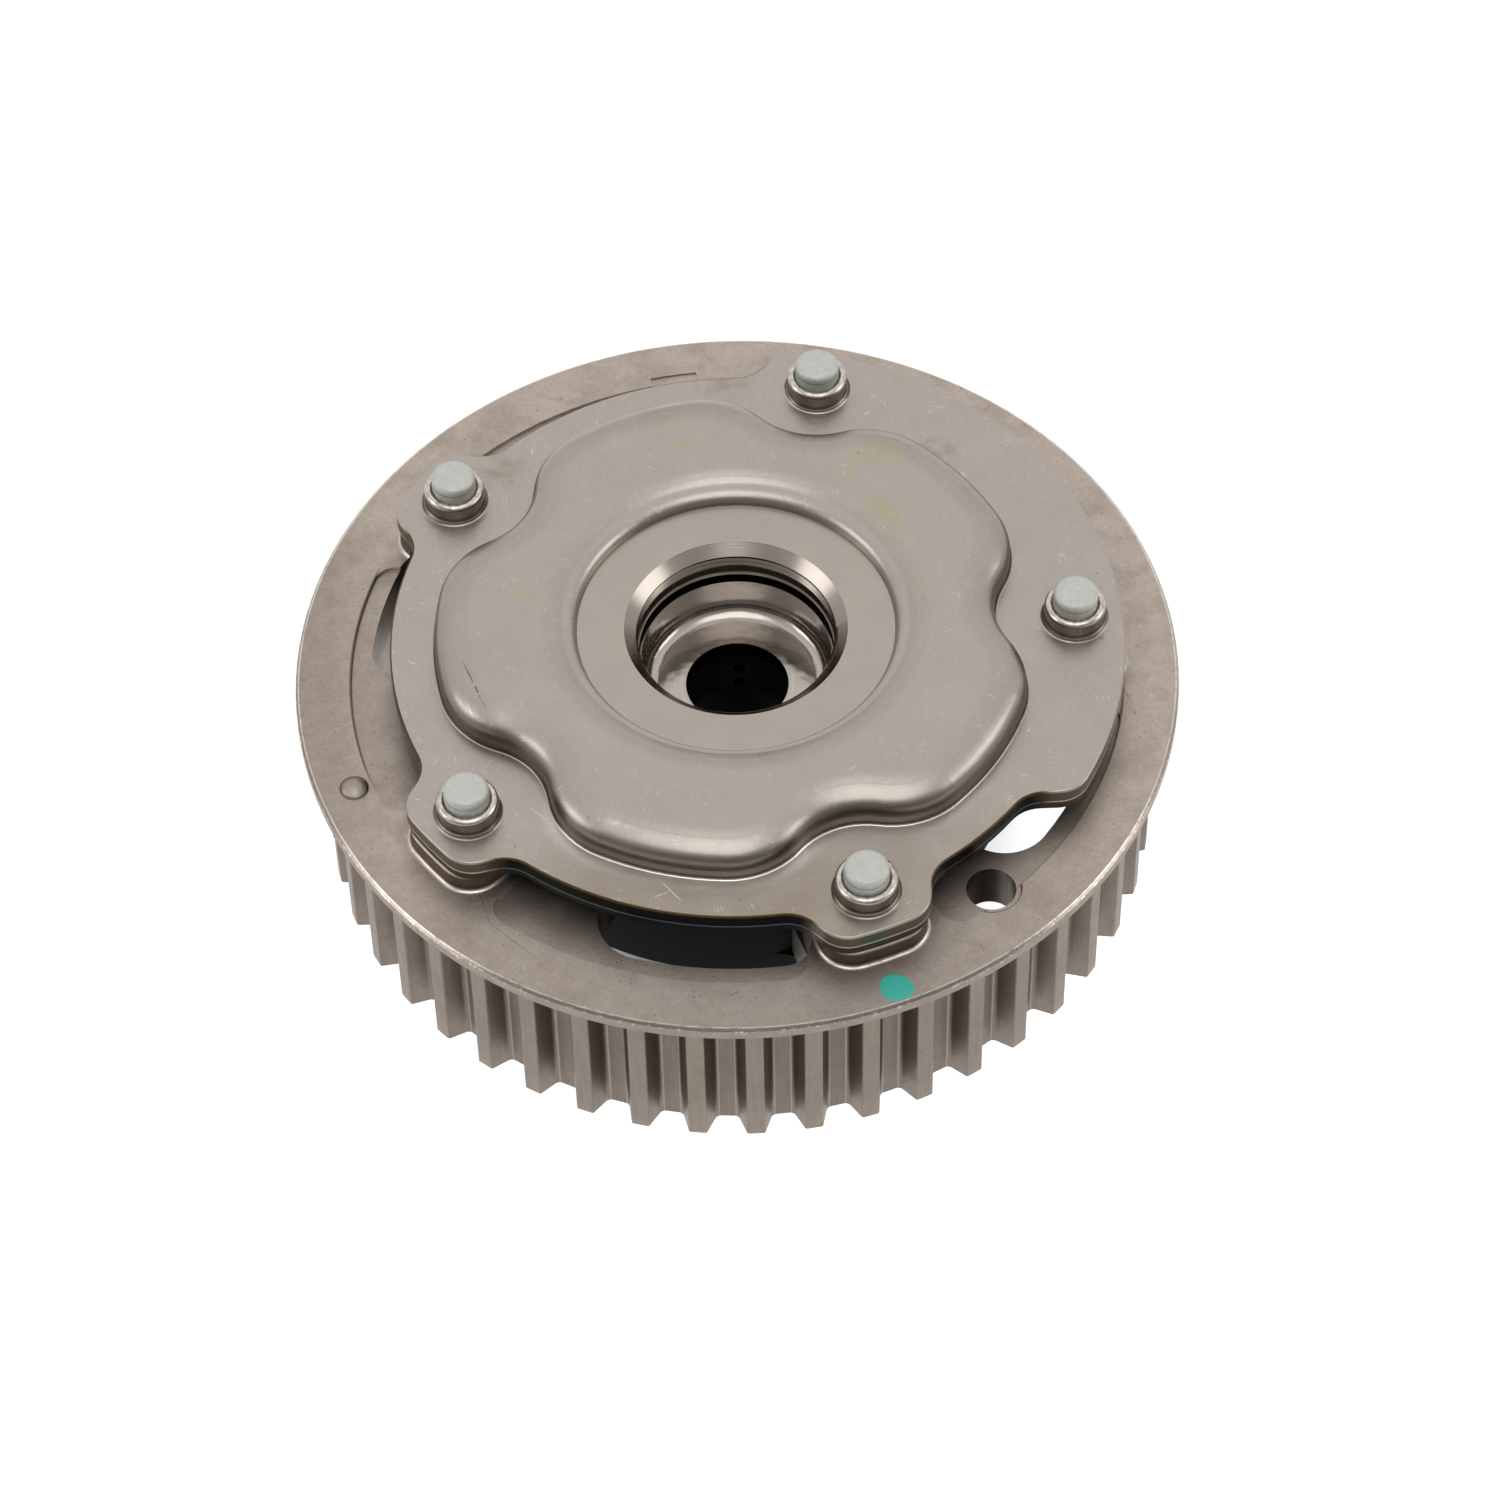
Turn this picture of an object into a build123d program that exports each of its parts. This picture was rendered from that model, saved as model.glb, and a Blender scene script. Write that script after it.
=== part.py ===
from build123d import *
import math
import os

# Camshaft sprocket with a vane type timing adjuster inside it.
# All sizes are in millimetres. +Z is the camshaft axis and points to the front cover.
# The origin is on the axis, in the plane of the toothed rim's rear face.

# Belt teeth
tooth_count = 46
belt_pitch = 8.0
belt_line_offset = 0.68
tooth_depth = 2.95
tooth_land = 2.4
flank_angle = 20.5
tooth_tip_fillet = 0.35
tooth_root_fillet = 0.9
tooth_phase = -122.81

# Wheel: toothed rim, one belt flange, web with windows, five pillars
wheel_width = 28.6
flange_thickness = 2.3
flange_height = 2.8
flange_chamfer = 0.4
rim_wall = 2.6
ledge_depth = 0.5
web_thickness = 7.4
window_shoulder = 1.84
window_angles = ((-118.0, -81.5), (-47.5, -11.0), (11.0, 61.0), (83.0, 133.0), (150.0, 177.0))
window_corners = ((6.5, 4.0), (6.5, 4.0), (4.0, 4.0), (4.0, 4.0), (4.0, 4.0))
pocket_margin = 11.0
pocket_corner = 3.0
boss_half_width = 7.4
boss_edge = 6.72
boss_corner = 4.5
boss_height = 2.7
boss_foot_fillet = 0.7
boss_top_fillet = 0.5
pillar_radius = 7.3
tool_hole_radius = 3.35
tool_hole_shift = 0.3
tool_hole_angle = -51.9
tool_hole_relief = 0.4
tool_hole_rim = 0.75
relief_width = 1.5
relief_depth = 0.25
relief_angles = (92.5, 99.5)
pip_shift = 2.5
pip_angle = -162.2
pip_radius = 1.9
pip_height = 0.8

# Five clamp screws hold the stack together
screw_count = 5
screw_rim_gap = 0.76
screw_radius = 3.05
screw_tip_round = 0.85
screw_stand_out = 2.4
screw_clearance = 0.25
head_step = 1.25
head_height = 3.2
head_flange_step = 0.9
head_flange_height = 1.0
head_bevel = 0.4
socket_radius = 2.5
socket_depth = 1.9

# Sheet cover: flat rim with five lobes, five lobed dome and drawn screw collars
sheet_thickness = 2.5
sheet_rollover = 0.3
sheet_burr_bevel = 0.2
cover_edge = 0.92
lobe_top_angle = 7.0
lobe_foot_angle = 12.7
lobe_corner = 4.5
lobe_root = 5.0
wide_lobe_angles = (-34.3, 79.0)
dome_height = 4.6
dome_screw_gap = 5.28
dome_waist = 11.0
dome_waist_fillet = 12.0
dome_top_fillet = 3.0
dome_foot_fillet = 0.4
dome_inner_fillet = 0.5
lip_depth = 1.0
collar_wall = 1.1
collar_height = 3.0
collar_top_fillet = 0.7
collar_foot_fillet = 0.65
collar_countersink = 0.3
collar_screw_gap = 0.05

# Centre ring, welded into the cover, with the thread for the oil cap
ring_flange_width = 4.8
ring_top_drop = 2.6
ring_flange = 1.2
ring_lip_wall = 1.65
ring_chamfer_width = 1.55
ring_thread_radius = 13.7
ring_chamfer_depth = 1.45
ring_groove_depth = 0.8
ring_land_step = 0.3
ring_thread_length = 2.0
ring_groove_width = 0.8
ring_length = 4.9

# Front seal plate behind the cover
plate_thickness = 1.5
plate_bevel = 0.2
plate_setback = 0.4
plate_lobe_inset = 0.25
plate_nose_gap = 1.0

# Stator ring with five chambers
stator_screw_gap = 4.73
stator_wall = 4.0
stator_length = 17.0
stator_corner = 0.8
stator_seat_gap = 0.1
dog_half_width = 4.5
dog_height = 2.0
dog_gap = 0.1
rotor_swing = 30.0
vane_stop_gap = 0.15
ring_seal_width = 1.9
ring_seal_depth = 1.5
ring_seal_gap = 0.05

# Rear cover
rear_plate = 3.5
rear_ear_edge = 0.3
rear_ear_fillet = 6.0
rear_boss_radius = 25.0
rear_boss_height = 2.8
rear_boss_bevel = 0.6
journal_gap = 0.05

# Rotor
chamber_depth = 10.0
rotor_gap = 0.1
rotor_end_gap = 0.05
journal_wall = 3.0
rear_hub_length = 9.3
pilot_radius = 12.5
pilot_depth = 4.0
bolt_hole_radius = 7.1
bowl_step = 0.4
bowl_floor_drop = 6.3
bowl_fillet = 2.0
nose_inset = 0.4
nose_ring_gap = 0.5
nose_ring_drop = 0.65
oil_hole_radius = 0.9
oil_hole_levels = (2.8, 6.6)
oil_hole_offset = 7.5
oil_groove_depth = 1.9
oil_groove_width = 7.0

# Vanes and the leaf springs that press them outwards
vane_thickness = 4.0
vane_slot_gap = 0.025
vane_slot_depth = 7.9
vane_spring_gap = 1.2
vane_tip_gap = 0.1
vane_tip_fillet = 1.0
leaf_thickness = 0.3
leaf_width = 3.4
leaf_half_length = 6.8
leaf_seat_gap = 0.02

# Lock pin, its spring and its bush
lock_angle_from_vane = 36.0
lock_pin_radius = 2.7
lock_pin_length = 11.05
lock_pin_gap = 0.05
lock_pin_lift = 1.0
lock_tip_gap = 0.1
lock_pin_wall = 0.8
lock_pin_floor = 2.4
lock_tip_chamfer = 0.4
lock_bush_wall = 0.8
lock_bush_length = 3.4
lock_bush_gap = 0.1
lock_wire_radius = 0.3
lock_coils = 5

# Flat spiral spring under the dome
spiral_nose_gap = 1.9
spiral_loose_pitch = 2.0
spiral_strip = 1.2
spiral_height = 2.0
spiral_lift = 0.3
spiral_angle = -26.0
tang_bend_radius = 1.4
tang_nose_gap = 0.6
tang_slot_gap = 0.2
tang_slot_floor = 1.0
anchor_pin_radius = 1.75
anchor_pin_gap = 0.05
anchor_inset = 5.0
anchor_pin_depth = 6.0
anchor_pin_bevel = 0.3

# How far a cut runs past a face, and how near counts as the same place
past = 1.0
near = 0.01

# Worked out from the sizes above
screw_angles = [360 / screw_count * i for i in range(screw_count)]
tip_radius = tooth_count * belt_pitch / (2 * math.pi) - belt_line_offset
root_radius = tip_radius - tooth_depth
flange_radius = tip_radius + flange_height
rim_inner_radius = root_radius - rim_wall
window_radius = rim_inner_radius - window_shoulder
tool_hole_distance = window_radius + tool_hole_shift
head_radius = screw_radius + head_step
head_flange_radius = head_radius + head_flange_step
screw_circle = rim_inner_radius - screw_rim_gap - head_flange_radius
boss_reach = screw_circle + boss_edge
relief_radius = boss_reach + relief_width
pip_distance = boss_reach + pip_shift
cover_radius = screw_circle + cover_edge
dome_radius = screw_circle - dome_screw_gap
collar_hole = screw_radius + collar_screw_gap
collar_radius = collar_hole + collar_wall
stator_radius = screw_circle - screw_radius - stator_screw_gap
rear_ear_radius = head_flange_radius + rear_ear_edge
flange_bottom = wheel_width - flange_thickness
ledge_level = wheel_width - ledge_depth
web_bottom = ledge_level - web_thickness
boss_top = wheel_width + boss_height
plate_top = boss_top + plate_thickness
cover_top = plate_top + sheet_thickness
dome_top = cover_top + dome_height
dome_ceiling = dome_top - sheet_thickness
collar_top = cover_top + collar_height
screw_tip = collar_top + screw_stand_out
stator_rear = boss_top - stator_length
rear_cover_rear = stator_rear - rear_plate
stator_seat_radius = stator_radius + stator_seat_gap
chamber_radius = stator_radius - stator_wall
ring_top = dome_top - ring_top_drop
ring_bottom = ring_top - ring_length
ring_shoulder = ring_top - ring_flange
ring_groove_radius = ring_thread_radius + ring_groove_depth
ring_land_radius = ring_thread_radius - ring_land_step
ring_chamfer_radius = ring_thread_radius + ring_chamfer_width
ring_neck_radius = ring_chamfer_radius + ring_lip_wall
ring_radius = ring_neck_radius + ring_flange_width
rotor_radius = chamber_radius - chamber_depth - rotor_gap
journal_radius = pilot_radius + journal_wall
journal_bore_radius = journal_radius + journal_gap
bowl_radius = ring_land_radius - bowl_step
nose_radius = ring_radius - nose_inset
nose_inner_radius = ring_neck_radius + nose_ring_gap
oil_groove_radius = bolt_hole_radius + oil_groove_depth
lip_bottom = dome_top - dome_top_fillet - lip_depth
rotor_rear = stator_rear + rotor_end_gap
rotor_front = boss_top - rotor_end_gap
bowl_floor = rotor_front - bowl_floor_drop
nose_top = ring_shoulder - nose_ring_drop
rear_hub_face = rotor_rear - rear_hub_length
pilot_floor = rear_hub_face + pilot_depth
vane_slot_bottom = rotor_radius - vane_slot_depth
vane_bottom = vane_slot_bottom + vane_spring_gap
vane_radius = chamber_radius - vane_tip_gap
vane_slot_half_width = vane_thickness / 2 + vane_slot_gap
vane_rest_angles = [a + (360 / screw_count - rotor_swing) / 2 for a in screw_angles]
lock_distance = (journal_bore_radius + rotor_radius) / 2
lock_angle = vane_rest_angles[0] + lock_angle_from_vane
lock_bore_radius = lock_pin_radius + lock_pin_gap
lock_pin_bottom = stator_rear + lock_tip_gap
lock_pin_top = lock_pin_bottom + lock_pin_length
lock_bore_top = lock_pin_top + lock_pin_lift + lock_pin_gap
lock_bush_bore = lock_pin_radius + lock_bush_gap
lock_bush_radius = lock_bush_bore + lock_bush_wall
spiral_bottom = plate_top + spiral_lift
hook_radius = anchor_pin_radius + anchor_pin_gap + spiral_strip / 2
anchor_distance = chamber_radius - anchor_inset
spiral_inner_radius = nose_radius + spiral_nose_gap
spiral_space = anchor_distance - hook_radius - spiral_inner_radius
spiral_turns = max(1, round(spiral_space / spiral_loose_pitch))
spiral_pitch = spiral_space / spiral_turns
spiral_half_turns = 2 * spiral_turns + 1
tang_inner_radius = nose_inner_radius + tang_nose_gap
anchor_angle = 180 + spiral_angle
seal_groove_centre = chamber_radius + stator_wall / 2


def at(radius, degrees):
    """Point in the plane, from its distance and its angle."""
    angle = math.radians(degrees)
    return (radius * math.cos(angle), radius * math.sin(angle))


def around(shape, radius, degrees):
    """The shape moved out from the axis and turned with its place."""
    return Rot(0, 0, degrees) * Pos(radius, 0, 0) * shape


def slab(outline, low, high):
    """Solid of a flat outline between two heights."""
    return Pos(0, 0, low) * extrude(outline, amount=high - low)


def turned(corners):
    """Solid turned about the axis from (radius, height) corners."""
    return revolve(Plane.XZ * make_face(Polyline(*corners, close=True)), Axis.Z)


def sector(inner, outer, start, end, foot=0.0):
    """Part of a ring between two angles. Its inner edge is longer by foot at each end."""
    middle = (start + end) / 2
    inner_start = start - foot
    inner_end = end + foot
    return make_face(
        [
            ThreePointArc(at(outer, start), at(outer, middle), at(outer, end)),
            Line(at(outer, end), at(inner, inner_end)),
            ThreePointArc(at(inner, inner_end), at(inner, middle), at(inner, inner_start)),
            Line(at(inner, inner_start), at(outer, start)),
        ]
    )


def distance_of(vertex):
    """How far a corner lies from the axis."""
    return math.hypot(vertex.X, vertex.Y)


def round_corners(outline, nearest, farthest, radius):
    """The outline with the corners that lie between two distances rounded."""
    chosen = [v for v in outline.vertices() if nearest < distance_of(v) < farthest]
    return fillet(chosen, radius)


# Drive pulley


def tooth():
    """Outline of one belt tooth on +X with its share of the rim, tips and roots rounded."""
    half_land = tooth_land / 2
    sink = tooth_root_fillet
    half_foot = half_land + (tooth_depth + sink) * math.tan(math.radians(flank_angle))
    tip = math.sqrt(tip_radius**2 - half_land**2)
    foot = tip - tooth_depth - sink
    blank = make_face(
        [
            ThreePointArc((tip, -half_land), (tip_radius, 0), (tip, half_land)),
            Line((tip, half_land), (foot, half_foot)),
            Line((foot, half_foot), (foot, -half_foot)),
            Line((foot, -half_foot), (tip, -half_land)),
        ]
    )
    half_step = 180 / tooth_count
    blank += sector(root_radius - 2 * sink, root_radius, -half_step, half_step)
    middle = (root_radius + tip_radius) / 2
    blank = round_corners(blank, middle, flange_radius, tooth_tip_fillet)
    roots = [
        v
        for v in blank.vertices()
        if abs(distance_of(v) - root_radius) < near and abs(v.Y) < half_foot
    ]
    return fillet(roots, tooth_root_fillet)


def toothed_outline():
    """Outline of the rim with its teeth."""
    step = 360 / tooth_count
    blank = tooth()
    teeth = [Rot(0, 0, tooth_phase + step * i) * blank for i in range(tooth_count)]
    return Circle(root_radius - tooth_root_fillet) + teeth


def boss_outline():
    """Pillar outline on the front of the web, at the +X screw."""
    inner = stator_radius - stator_wall / 2
    edge = math.sqrt(boss_reach**2 - boss_half_width**2)
    outline = make_face(
        [
            ThreePointArc((edge, -boss_half_width), (boss_reach, 0), (edge, boss_half_width)),
            Line((edge, boss_half_width), (inner, boss_half_width)),
            Line((inner, boss_half_width), (inner, -boss_half_width)),
            Line((inner, -boss_half_width), (edge, -boss_half_width)),
        ]
    )
    return round_corners(outline, screw_circle, flange_radius, boss_corner)


def window_outline(ends, corners):
    """One window of the web, open to the stator, with a rounded corner at each end."""
    outline = sector(stator_radius - stator_wall / 2, window_radius, *ends)
    for angle, radius in zip(ends, corners):
        corner = outline.vertices().sort_by_distance((*at(window_radius, angle), 0))[0]
        outline = fillet(corner, radius)
    return outline


def ear_outline(radius):
    """Round ended ear from inside the stator's wall out round the +X screw."""
    inner = stator_radius - stator_wall / 2
    length = screw_circle - inner
    neck = Pos(inner + length / 2, 0, 0) * Rectangle(length, 2 * radius)
    return neck + Pos(screw_circle, 0, 0) * Circle(radius)


def dog_outline(half_width, height):
    """Driving dog at the +X screw, from inside the stator's wall outwards."""
    inner = stator_radius - stator_wall / 2
    length = stator_radius + height - inner
    return Pos(inner + length / 2, 0, 0) * Rectangle(length, 2 * half_width)


def drive_pulley():
    """Sintered wheel: belt teeth, flange, windowed web and five hollow pillars."""
    flange = slab(Circle(flange_radius), flange_bottom, wheel_width)
    flange = chamfer(flange.edges().filter_by(GeomType.CIRCLE), flange_chamfer)
    boss = slab(boss_outline(), flange_bottom, boss_top)
    boss = fillet(boss.edges().group_by(Axis.Z)[-1], boss_top_fillet)
    front = flange + [Rot(0, 0, a) * boss for a in screw_angles]
    foot_edges = [
        e
        for e in front.edges().filter_by_position(Axis.Z, wheel_width, wheel_width)
        if distance_of(e @ 0.5) < boss_reach + near
    ]
    web = fillet(foot_edges, boss_foot_fillet)
    web += slab(Circle(rim_inner_radius), web_bottom, flange_bottom)
    pillar = slab(ear_outline(pillar_radius), stator_rear, web_bottom)
    web += [Rot(0, 0, a) * pillar for a in screw_angles]
    cuts = [slab(Circle(stator_seat_radius), stator_rear, boss_top)]
    bolt_hole = Pos(screw_circle, 0, 0) * Circle(screw_radius + screw_clearance)
    dog_slot = dog_outline(dog_half_width + dog_gap, dog_height + dog_gap)
    pocket = sector(stator_radius, boss_reach, pocket_margin, 360 / screw_count - pocket_margin)
    pocket = round_corners(pocket, screw_circle, flange_radius, pocket_corner)
    for a in screw_angles:
        cuts.append(Rot(0, 0, a) * slab(bolt_hole, stator_rear, boss_top))
        cuts.append(Rot(0, 0, a) * slab(dog_slot, stator_rear, boss_top))
        cuts.append(Rot(0, 0, a) * slab(pocket, ledge_level, boss_top))
    for ends, corners in zip(window_angles, window_corners):
        cuts.append(slab(window_outline(ends, corners), web_bottom, boss_top))
    relief = sector(boss_reach - past, relief_radius, *relief_angles)
    cuts.append(slab(relief, wheel_width - relief_depth, boss_top))
    web -= cuts
    rim = slab(toothed_outline(), 0, flange_bottom)
    rim -= slab(Circle(rim_inner_radius), 0, flange_bottom)
    tool_hole = slab(Circle(tool_hole_radius), web_bottom - past, boss_top)
    tool_hole += slab(Circle(tool_hole_radius + tool_hole_relief), -past, web_bottom)
    tool_hole += slab(Circle(tool_hole_radius + tool_hole_rim), ledge_level, boss_top)
    ball = (pip_radius**2 + pip_height**2) / (2 * pip_height)
    pip = Pos(0, 0, wheel_width + pip_height - ball) * Sphere(ball)
    pip &= slab(Circle(pip_radius + past), wheel_width - ledge_depth, wheel_width + pip_height)
    wheel = web + [rim, around(pip, pip_distance, pip_angle)]
    return wheel - around(tool_hole, tool_hole_distance, tool_hole_angle)


# Cover, seal plate and centre ring


def lobed_outline(base, reach):
    """Round plate with lobes over the screws and one wide lobe over two of them."""
    lobe_foot = lobe_foot_angle - lobe_top_angle
    inner = base - past
    lobes = [
        sector(inner, reach, a - lobe_top_angle, a + lobe_top_angle, lobe_foot)
        for a in screw_angles
    ]
    lobes.append(sector(inner, reach, *wide_lobe_angles, lobe_foot))
    outline = Circle(base) + lobes
    middle = (base + reach) / 2
    outline = round_corners(outline, middle, flange_radius, lobe_corner)
    return round_corners(outline, base - near, middle, lobe_root)


def dome_outline(inset=0.0):
    """Round outline with a waist round each screw, drawn in evenly by the inset."""
    waists = [around(Circle(dome_waist + inset), screw_circle, a) for a in screw_angles]
    outline = Circle(dome_radius - inset) - waists
    return fillet(outline.vertices(), dome_waist_fillet - inset)


def screw_collar():
    """Collar drawn up out of the sheet round the +X screw hole."""
    foot = collar_radius + collar_foot_fillet
    profile = make_face(
        Polyline(
            (collar_hole, plate_top),
            (foot + past, plate_top),
            (foot + past, cover_top),
            (collar_radius, cover_top),
            (collar_radius, collar_top),
            (collar_hole + collar_countersink, collar_top),
            (collar_hole, collar_top - collar_countersink),
            close=True,
        )
    )
    top = [v for v in profile.vertices() if v.X > collar_radius - near and v.Y > collar_top - near]
    profile = fillet(top, collar_top_fillet)
    foot_corner = [
        v
        for v in profile.vertices()
        if abs(v.X - collar_radius) < near and abs(v.Y - cover_top) < near
    ]
    profile = fillet(foot_corner, collar_foot_fillet)
    return Pos(screw_circle, 0, 0) * revolve(Plane.XZ * profile, Axis.Z)


def dome_cover():
    """Pressed steel cover with its dome, centre lip and screw collars."""
    sheet = slab(lobed_outline(cover_radius, boss_reach), plate_top, cover_top)
    sheet = fillet(sheet.edges().group_by(Axis.Z)[-1], sheet_rollover)
    sheet = chamfer(sheet.edges().group_by(Axis.Z)[0], sheet_burr_bevel)
    dome = slab(dome_outline(), cover_top - past, dome_top)
    dome -= slab(Circle(ring_radius), cover_top - past, dome_top)
    dome = fillet(dome.edges().group_by(Axis.Z)[-1], dome_top_fillet)
    cover = sheet + dome
    foot_edges = [
        e
        for e in cover.edges().filter_by_position(Axis.Z, cover_top, cover_top)
        if ring_radius + near < distance_of(e @ 0.5) < dome_radius + near
    ]
    cover = fillet(foot_edges, dome_foot_fillet)
    cavity = slab(dome_outline(sheet_thickness), plate_top - past, dome_ceiling)
    cavity = fillet(cavity.edges().group_by(Axis.Z)[-1], dome_inner_fillet)
    cavity -= slab(Circle(ring_radius + sheet_thickness), lip_bottom, dome_top)
    cover -= cavity
    cover -= slab(Circle(ring_radius), plate_top - past, dome_top)
    hole = Pos(screw_circle, 0, 0) * Circle(collar_radius + collar_foot_fillet + past / 2)
    for a in screw_angles:
        cover -= Rot(0, 0, a) * slab(hole, plate_top, cover_top)
        cover += Rot(0, 0, a) * screw_collar()
    return cover


def front_seal_plate():
    """Flat plate that closes the chambers at the front."""
    outline = lobed_outline(cover_radius - plate_setback, boss_reach - plate_lobe_inset)
    plate = slab(outline, boss_top, plate_top)
    plate = chamfer(plate.edges().filter_by(Plane.XY), plate_bevel)
    plate -= slab(Circle(nose_radius + plate_nose_gap), boss_top, plate_top)
    hole = Pos(screw_circle, 0, 0) * Circle(screw_radius + screw_clearance)
    for a in screw_angles:
        plate -= Rot(0, 0, a) * slab(hole, boss_top, plate_top)
    pin_hole = slab(Circle(anchor_pin_radius), boss_top, plate_top)
    return plate - around(pin_hole, anchor_distance, anchor_angle)


def centre_ring():
    """Turned ring with the cap thread, two grooves and a sealing chamfer."""
    thread_top = ring_top - ring_chamfer_depth
    groove_top = thread_top - ring_thread_length
    groove_bottom = groove_top - ring_groove_width
    return turned(
        [
            (ring_chamfer_radius, ring_top),
            (ring_radius, ring_top),
            (ring_radius, ring_shoulder),
            (ring_neck_radius, ring_shoulder),
            (ring_neck_radius, ring_bottom),
            (ring_land_radius, ring_bottom),
            (ring_land_radius, groove_bottom),
            (ring_groove_radius, groove_bottom),
            (ring_groove_radius, groove_top),
            (ring_thread_radius, groove_top),
            (ring_thread_radius, thread_top),
        ]
    )


def clamp_screw():
    """Screw at +X: flanged head behind the rear cover, tip through the collar."""
    head_bottom = rear_cover_rear - head_height
    screw = turned(
        [
            (0, screw_tip),
            (screw_radius, screw_tip),
            (screw_radius, rear_cover_rear),
            (head_flange_radius, rear_cover_rear),
            (head_flange_radius, rear_cover_rear - head_flange_height),
            (head_radius, rear_cover_rear - head_flange_height - head_bevel),
            (head_radius, head_bottom + head_bevel),
            (head_radius - head_bevel, head_bottom),
            (0, head_bottom),
        ]
    )
    screw = fillet(screw.edges().group_by(Axis.Z)[-1], screw_tip_round)
    flute = socket_radius / 4
    socket = Circle(socket_radius - flute)
    socket += [around(Circle(flute), socket_radius - flute, 60 * i) for i in range(6)]
    screw -= slab(socket, head_bottom, head_bottom + socket_depth)
    return Pos(screw_circle, 0, 0) * screw


# Stator and rear cover


def chamber_outline(first_angle):
    """One oil chamber, with flanks that lie flat against the vane at both stops."""
    last_angle = first_angle + rotor_swing
    inner = rotor_radius - past
    chamber = sector(inner, chamber_radius, first_angle, last_angle)
    half = vane_thickness / 2 + vane_stop_gap
    reach = math.sqrt(chamber_radius**2 - half**2)
    bar = make_face(
        [
            ThreePointArc((reach, -half), (chamber_radius, 0), (reach, half)),
            Line((reach, half), (inner, half)),
            Line((inner, half), (inner, -half)),
            Line((inner, -half), (reach, -half)),
        ]
    )
    chamber += Rot(0, 0, first_angle) * bar
    chamber += Rot(0, 0, last_angle) * bar
    return round_corners(chamber, rotor_radius, flange_radius, stator_corner)


def stator_ring():
    """Steam treated ring with five chambers, driving dogs and two seal grooves."""
    outline = Circle(stator_radius) - Circle(rotor_radius + rotor_gap)
    outline += [Rot(0, 0, a) * dog_outline(dog_half_width, dog_height) for a in screw_angles]
    outline -= [chamber_outline(a) for a in vane_rest_angles]
    stator = slab(outline, stator_rear, boss_top)
    half = ring_seal_width / 2
    groove = Circle(seal_groove_centre + half) - Circle(seal_groove_centre - half)
    stator -= slab(groove, boss_top - ring_seal_depth, boss_top)
    stator -= slab(groove, stator_rear, stator_rear + ring_seal_depth)
    pin_hole = slab(Circle(anchor_pin_radius), boss_top - anchor_pin_depth, boss_top)
    return stator - around(pin_hole, anchor_distance, anchor_angle)


def seal_ring(centre_height):
    """Rubber ring that lies in one of the stator's grooves."""
    section = ring_seal_depth / 2 - ring_seal_gap
    return Pos(0, 0, centre_height) * Torus(seal_groove_centre, section)


def rear_cover():
    """Rear cover with screw ears, the rotor's journal bore and the bush pocket."""
    ears = [Rot(0, 0, a) * ear_outline(rear_ear_radius) for a in screw_angles]
    outline = Circle(stator_radius) + ears
    outline = round_corners(outline, stator_radius - near, stator_radius + near, rear_ear_fillet)
    cover = slab(outline, rear_cover_rear, stator_rear)
    cover += slab(Circle(rear_boss_radius), rear_cover_rear - rear_boss_height, rear_cover_rear)
    cover = chamfer(cover.edges().group_by(Axis.Z)[0], rear_boss_bevel)
    bore = Circle(journal_bore_radius)
    cover -= slab(bore, rear_cover_rear - rear_boss_height, stator_rear)
    hole = Pos(screw_circle, 0, 0) * Circle(screw_radius + screw_clearance)
    for a in screw_angles:
        cover -= Rot(0, 0, a) * slab(hole, rear_cover_rear, stator_rear)
    pocket = slab(Circle(lock_bush_radius), stator_rear - lock_bush_length, stator_rear)
    return cover - around(pocket, lock_distance, lock_angle)


def locking_bush():
    """Hardened bush that the lock pin drops into."""
    ring = Circle(lock_bush_radius) - Circle(lock_bush_bore)
    bush = slab(ring, stator_rear - lock_bush_length, stator_rear)
    return around(bush, lock_distance, lock_angle)


# Rotor with its vanes


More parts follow.
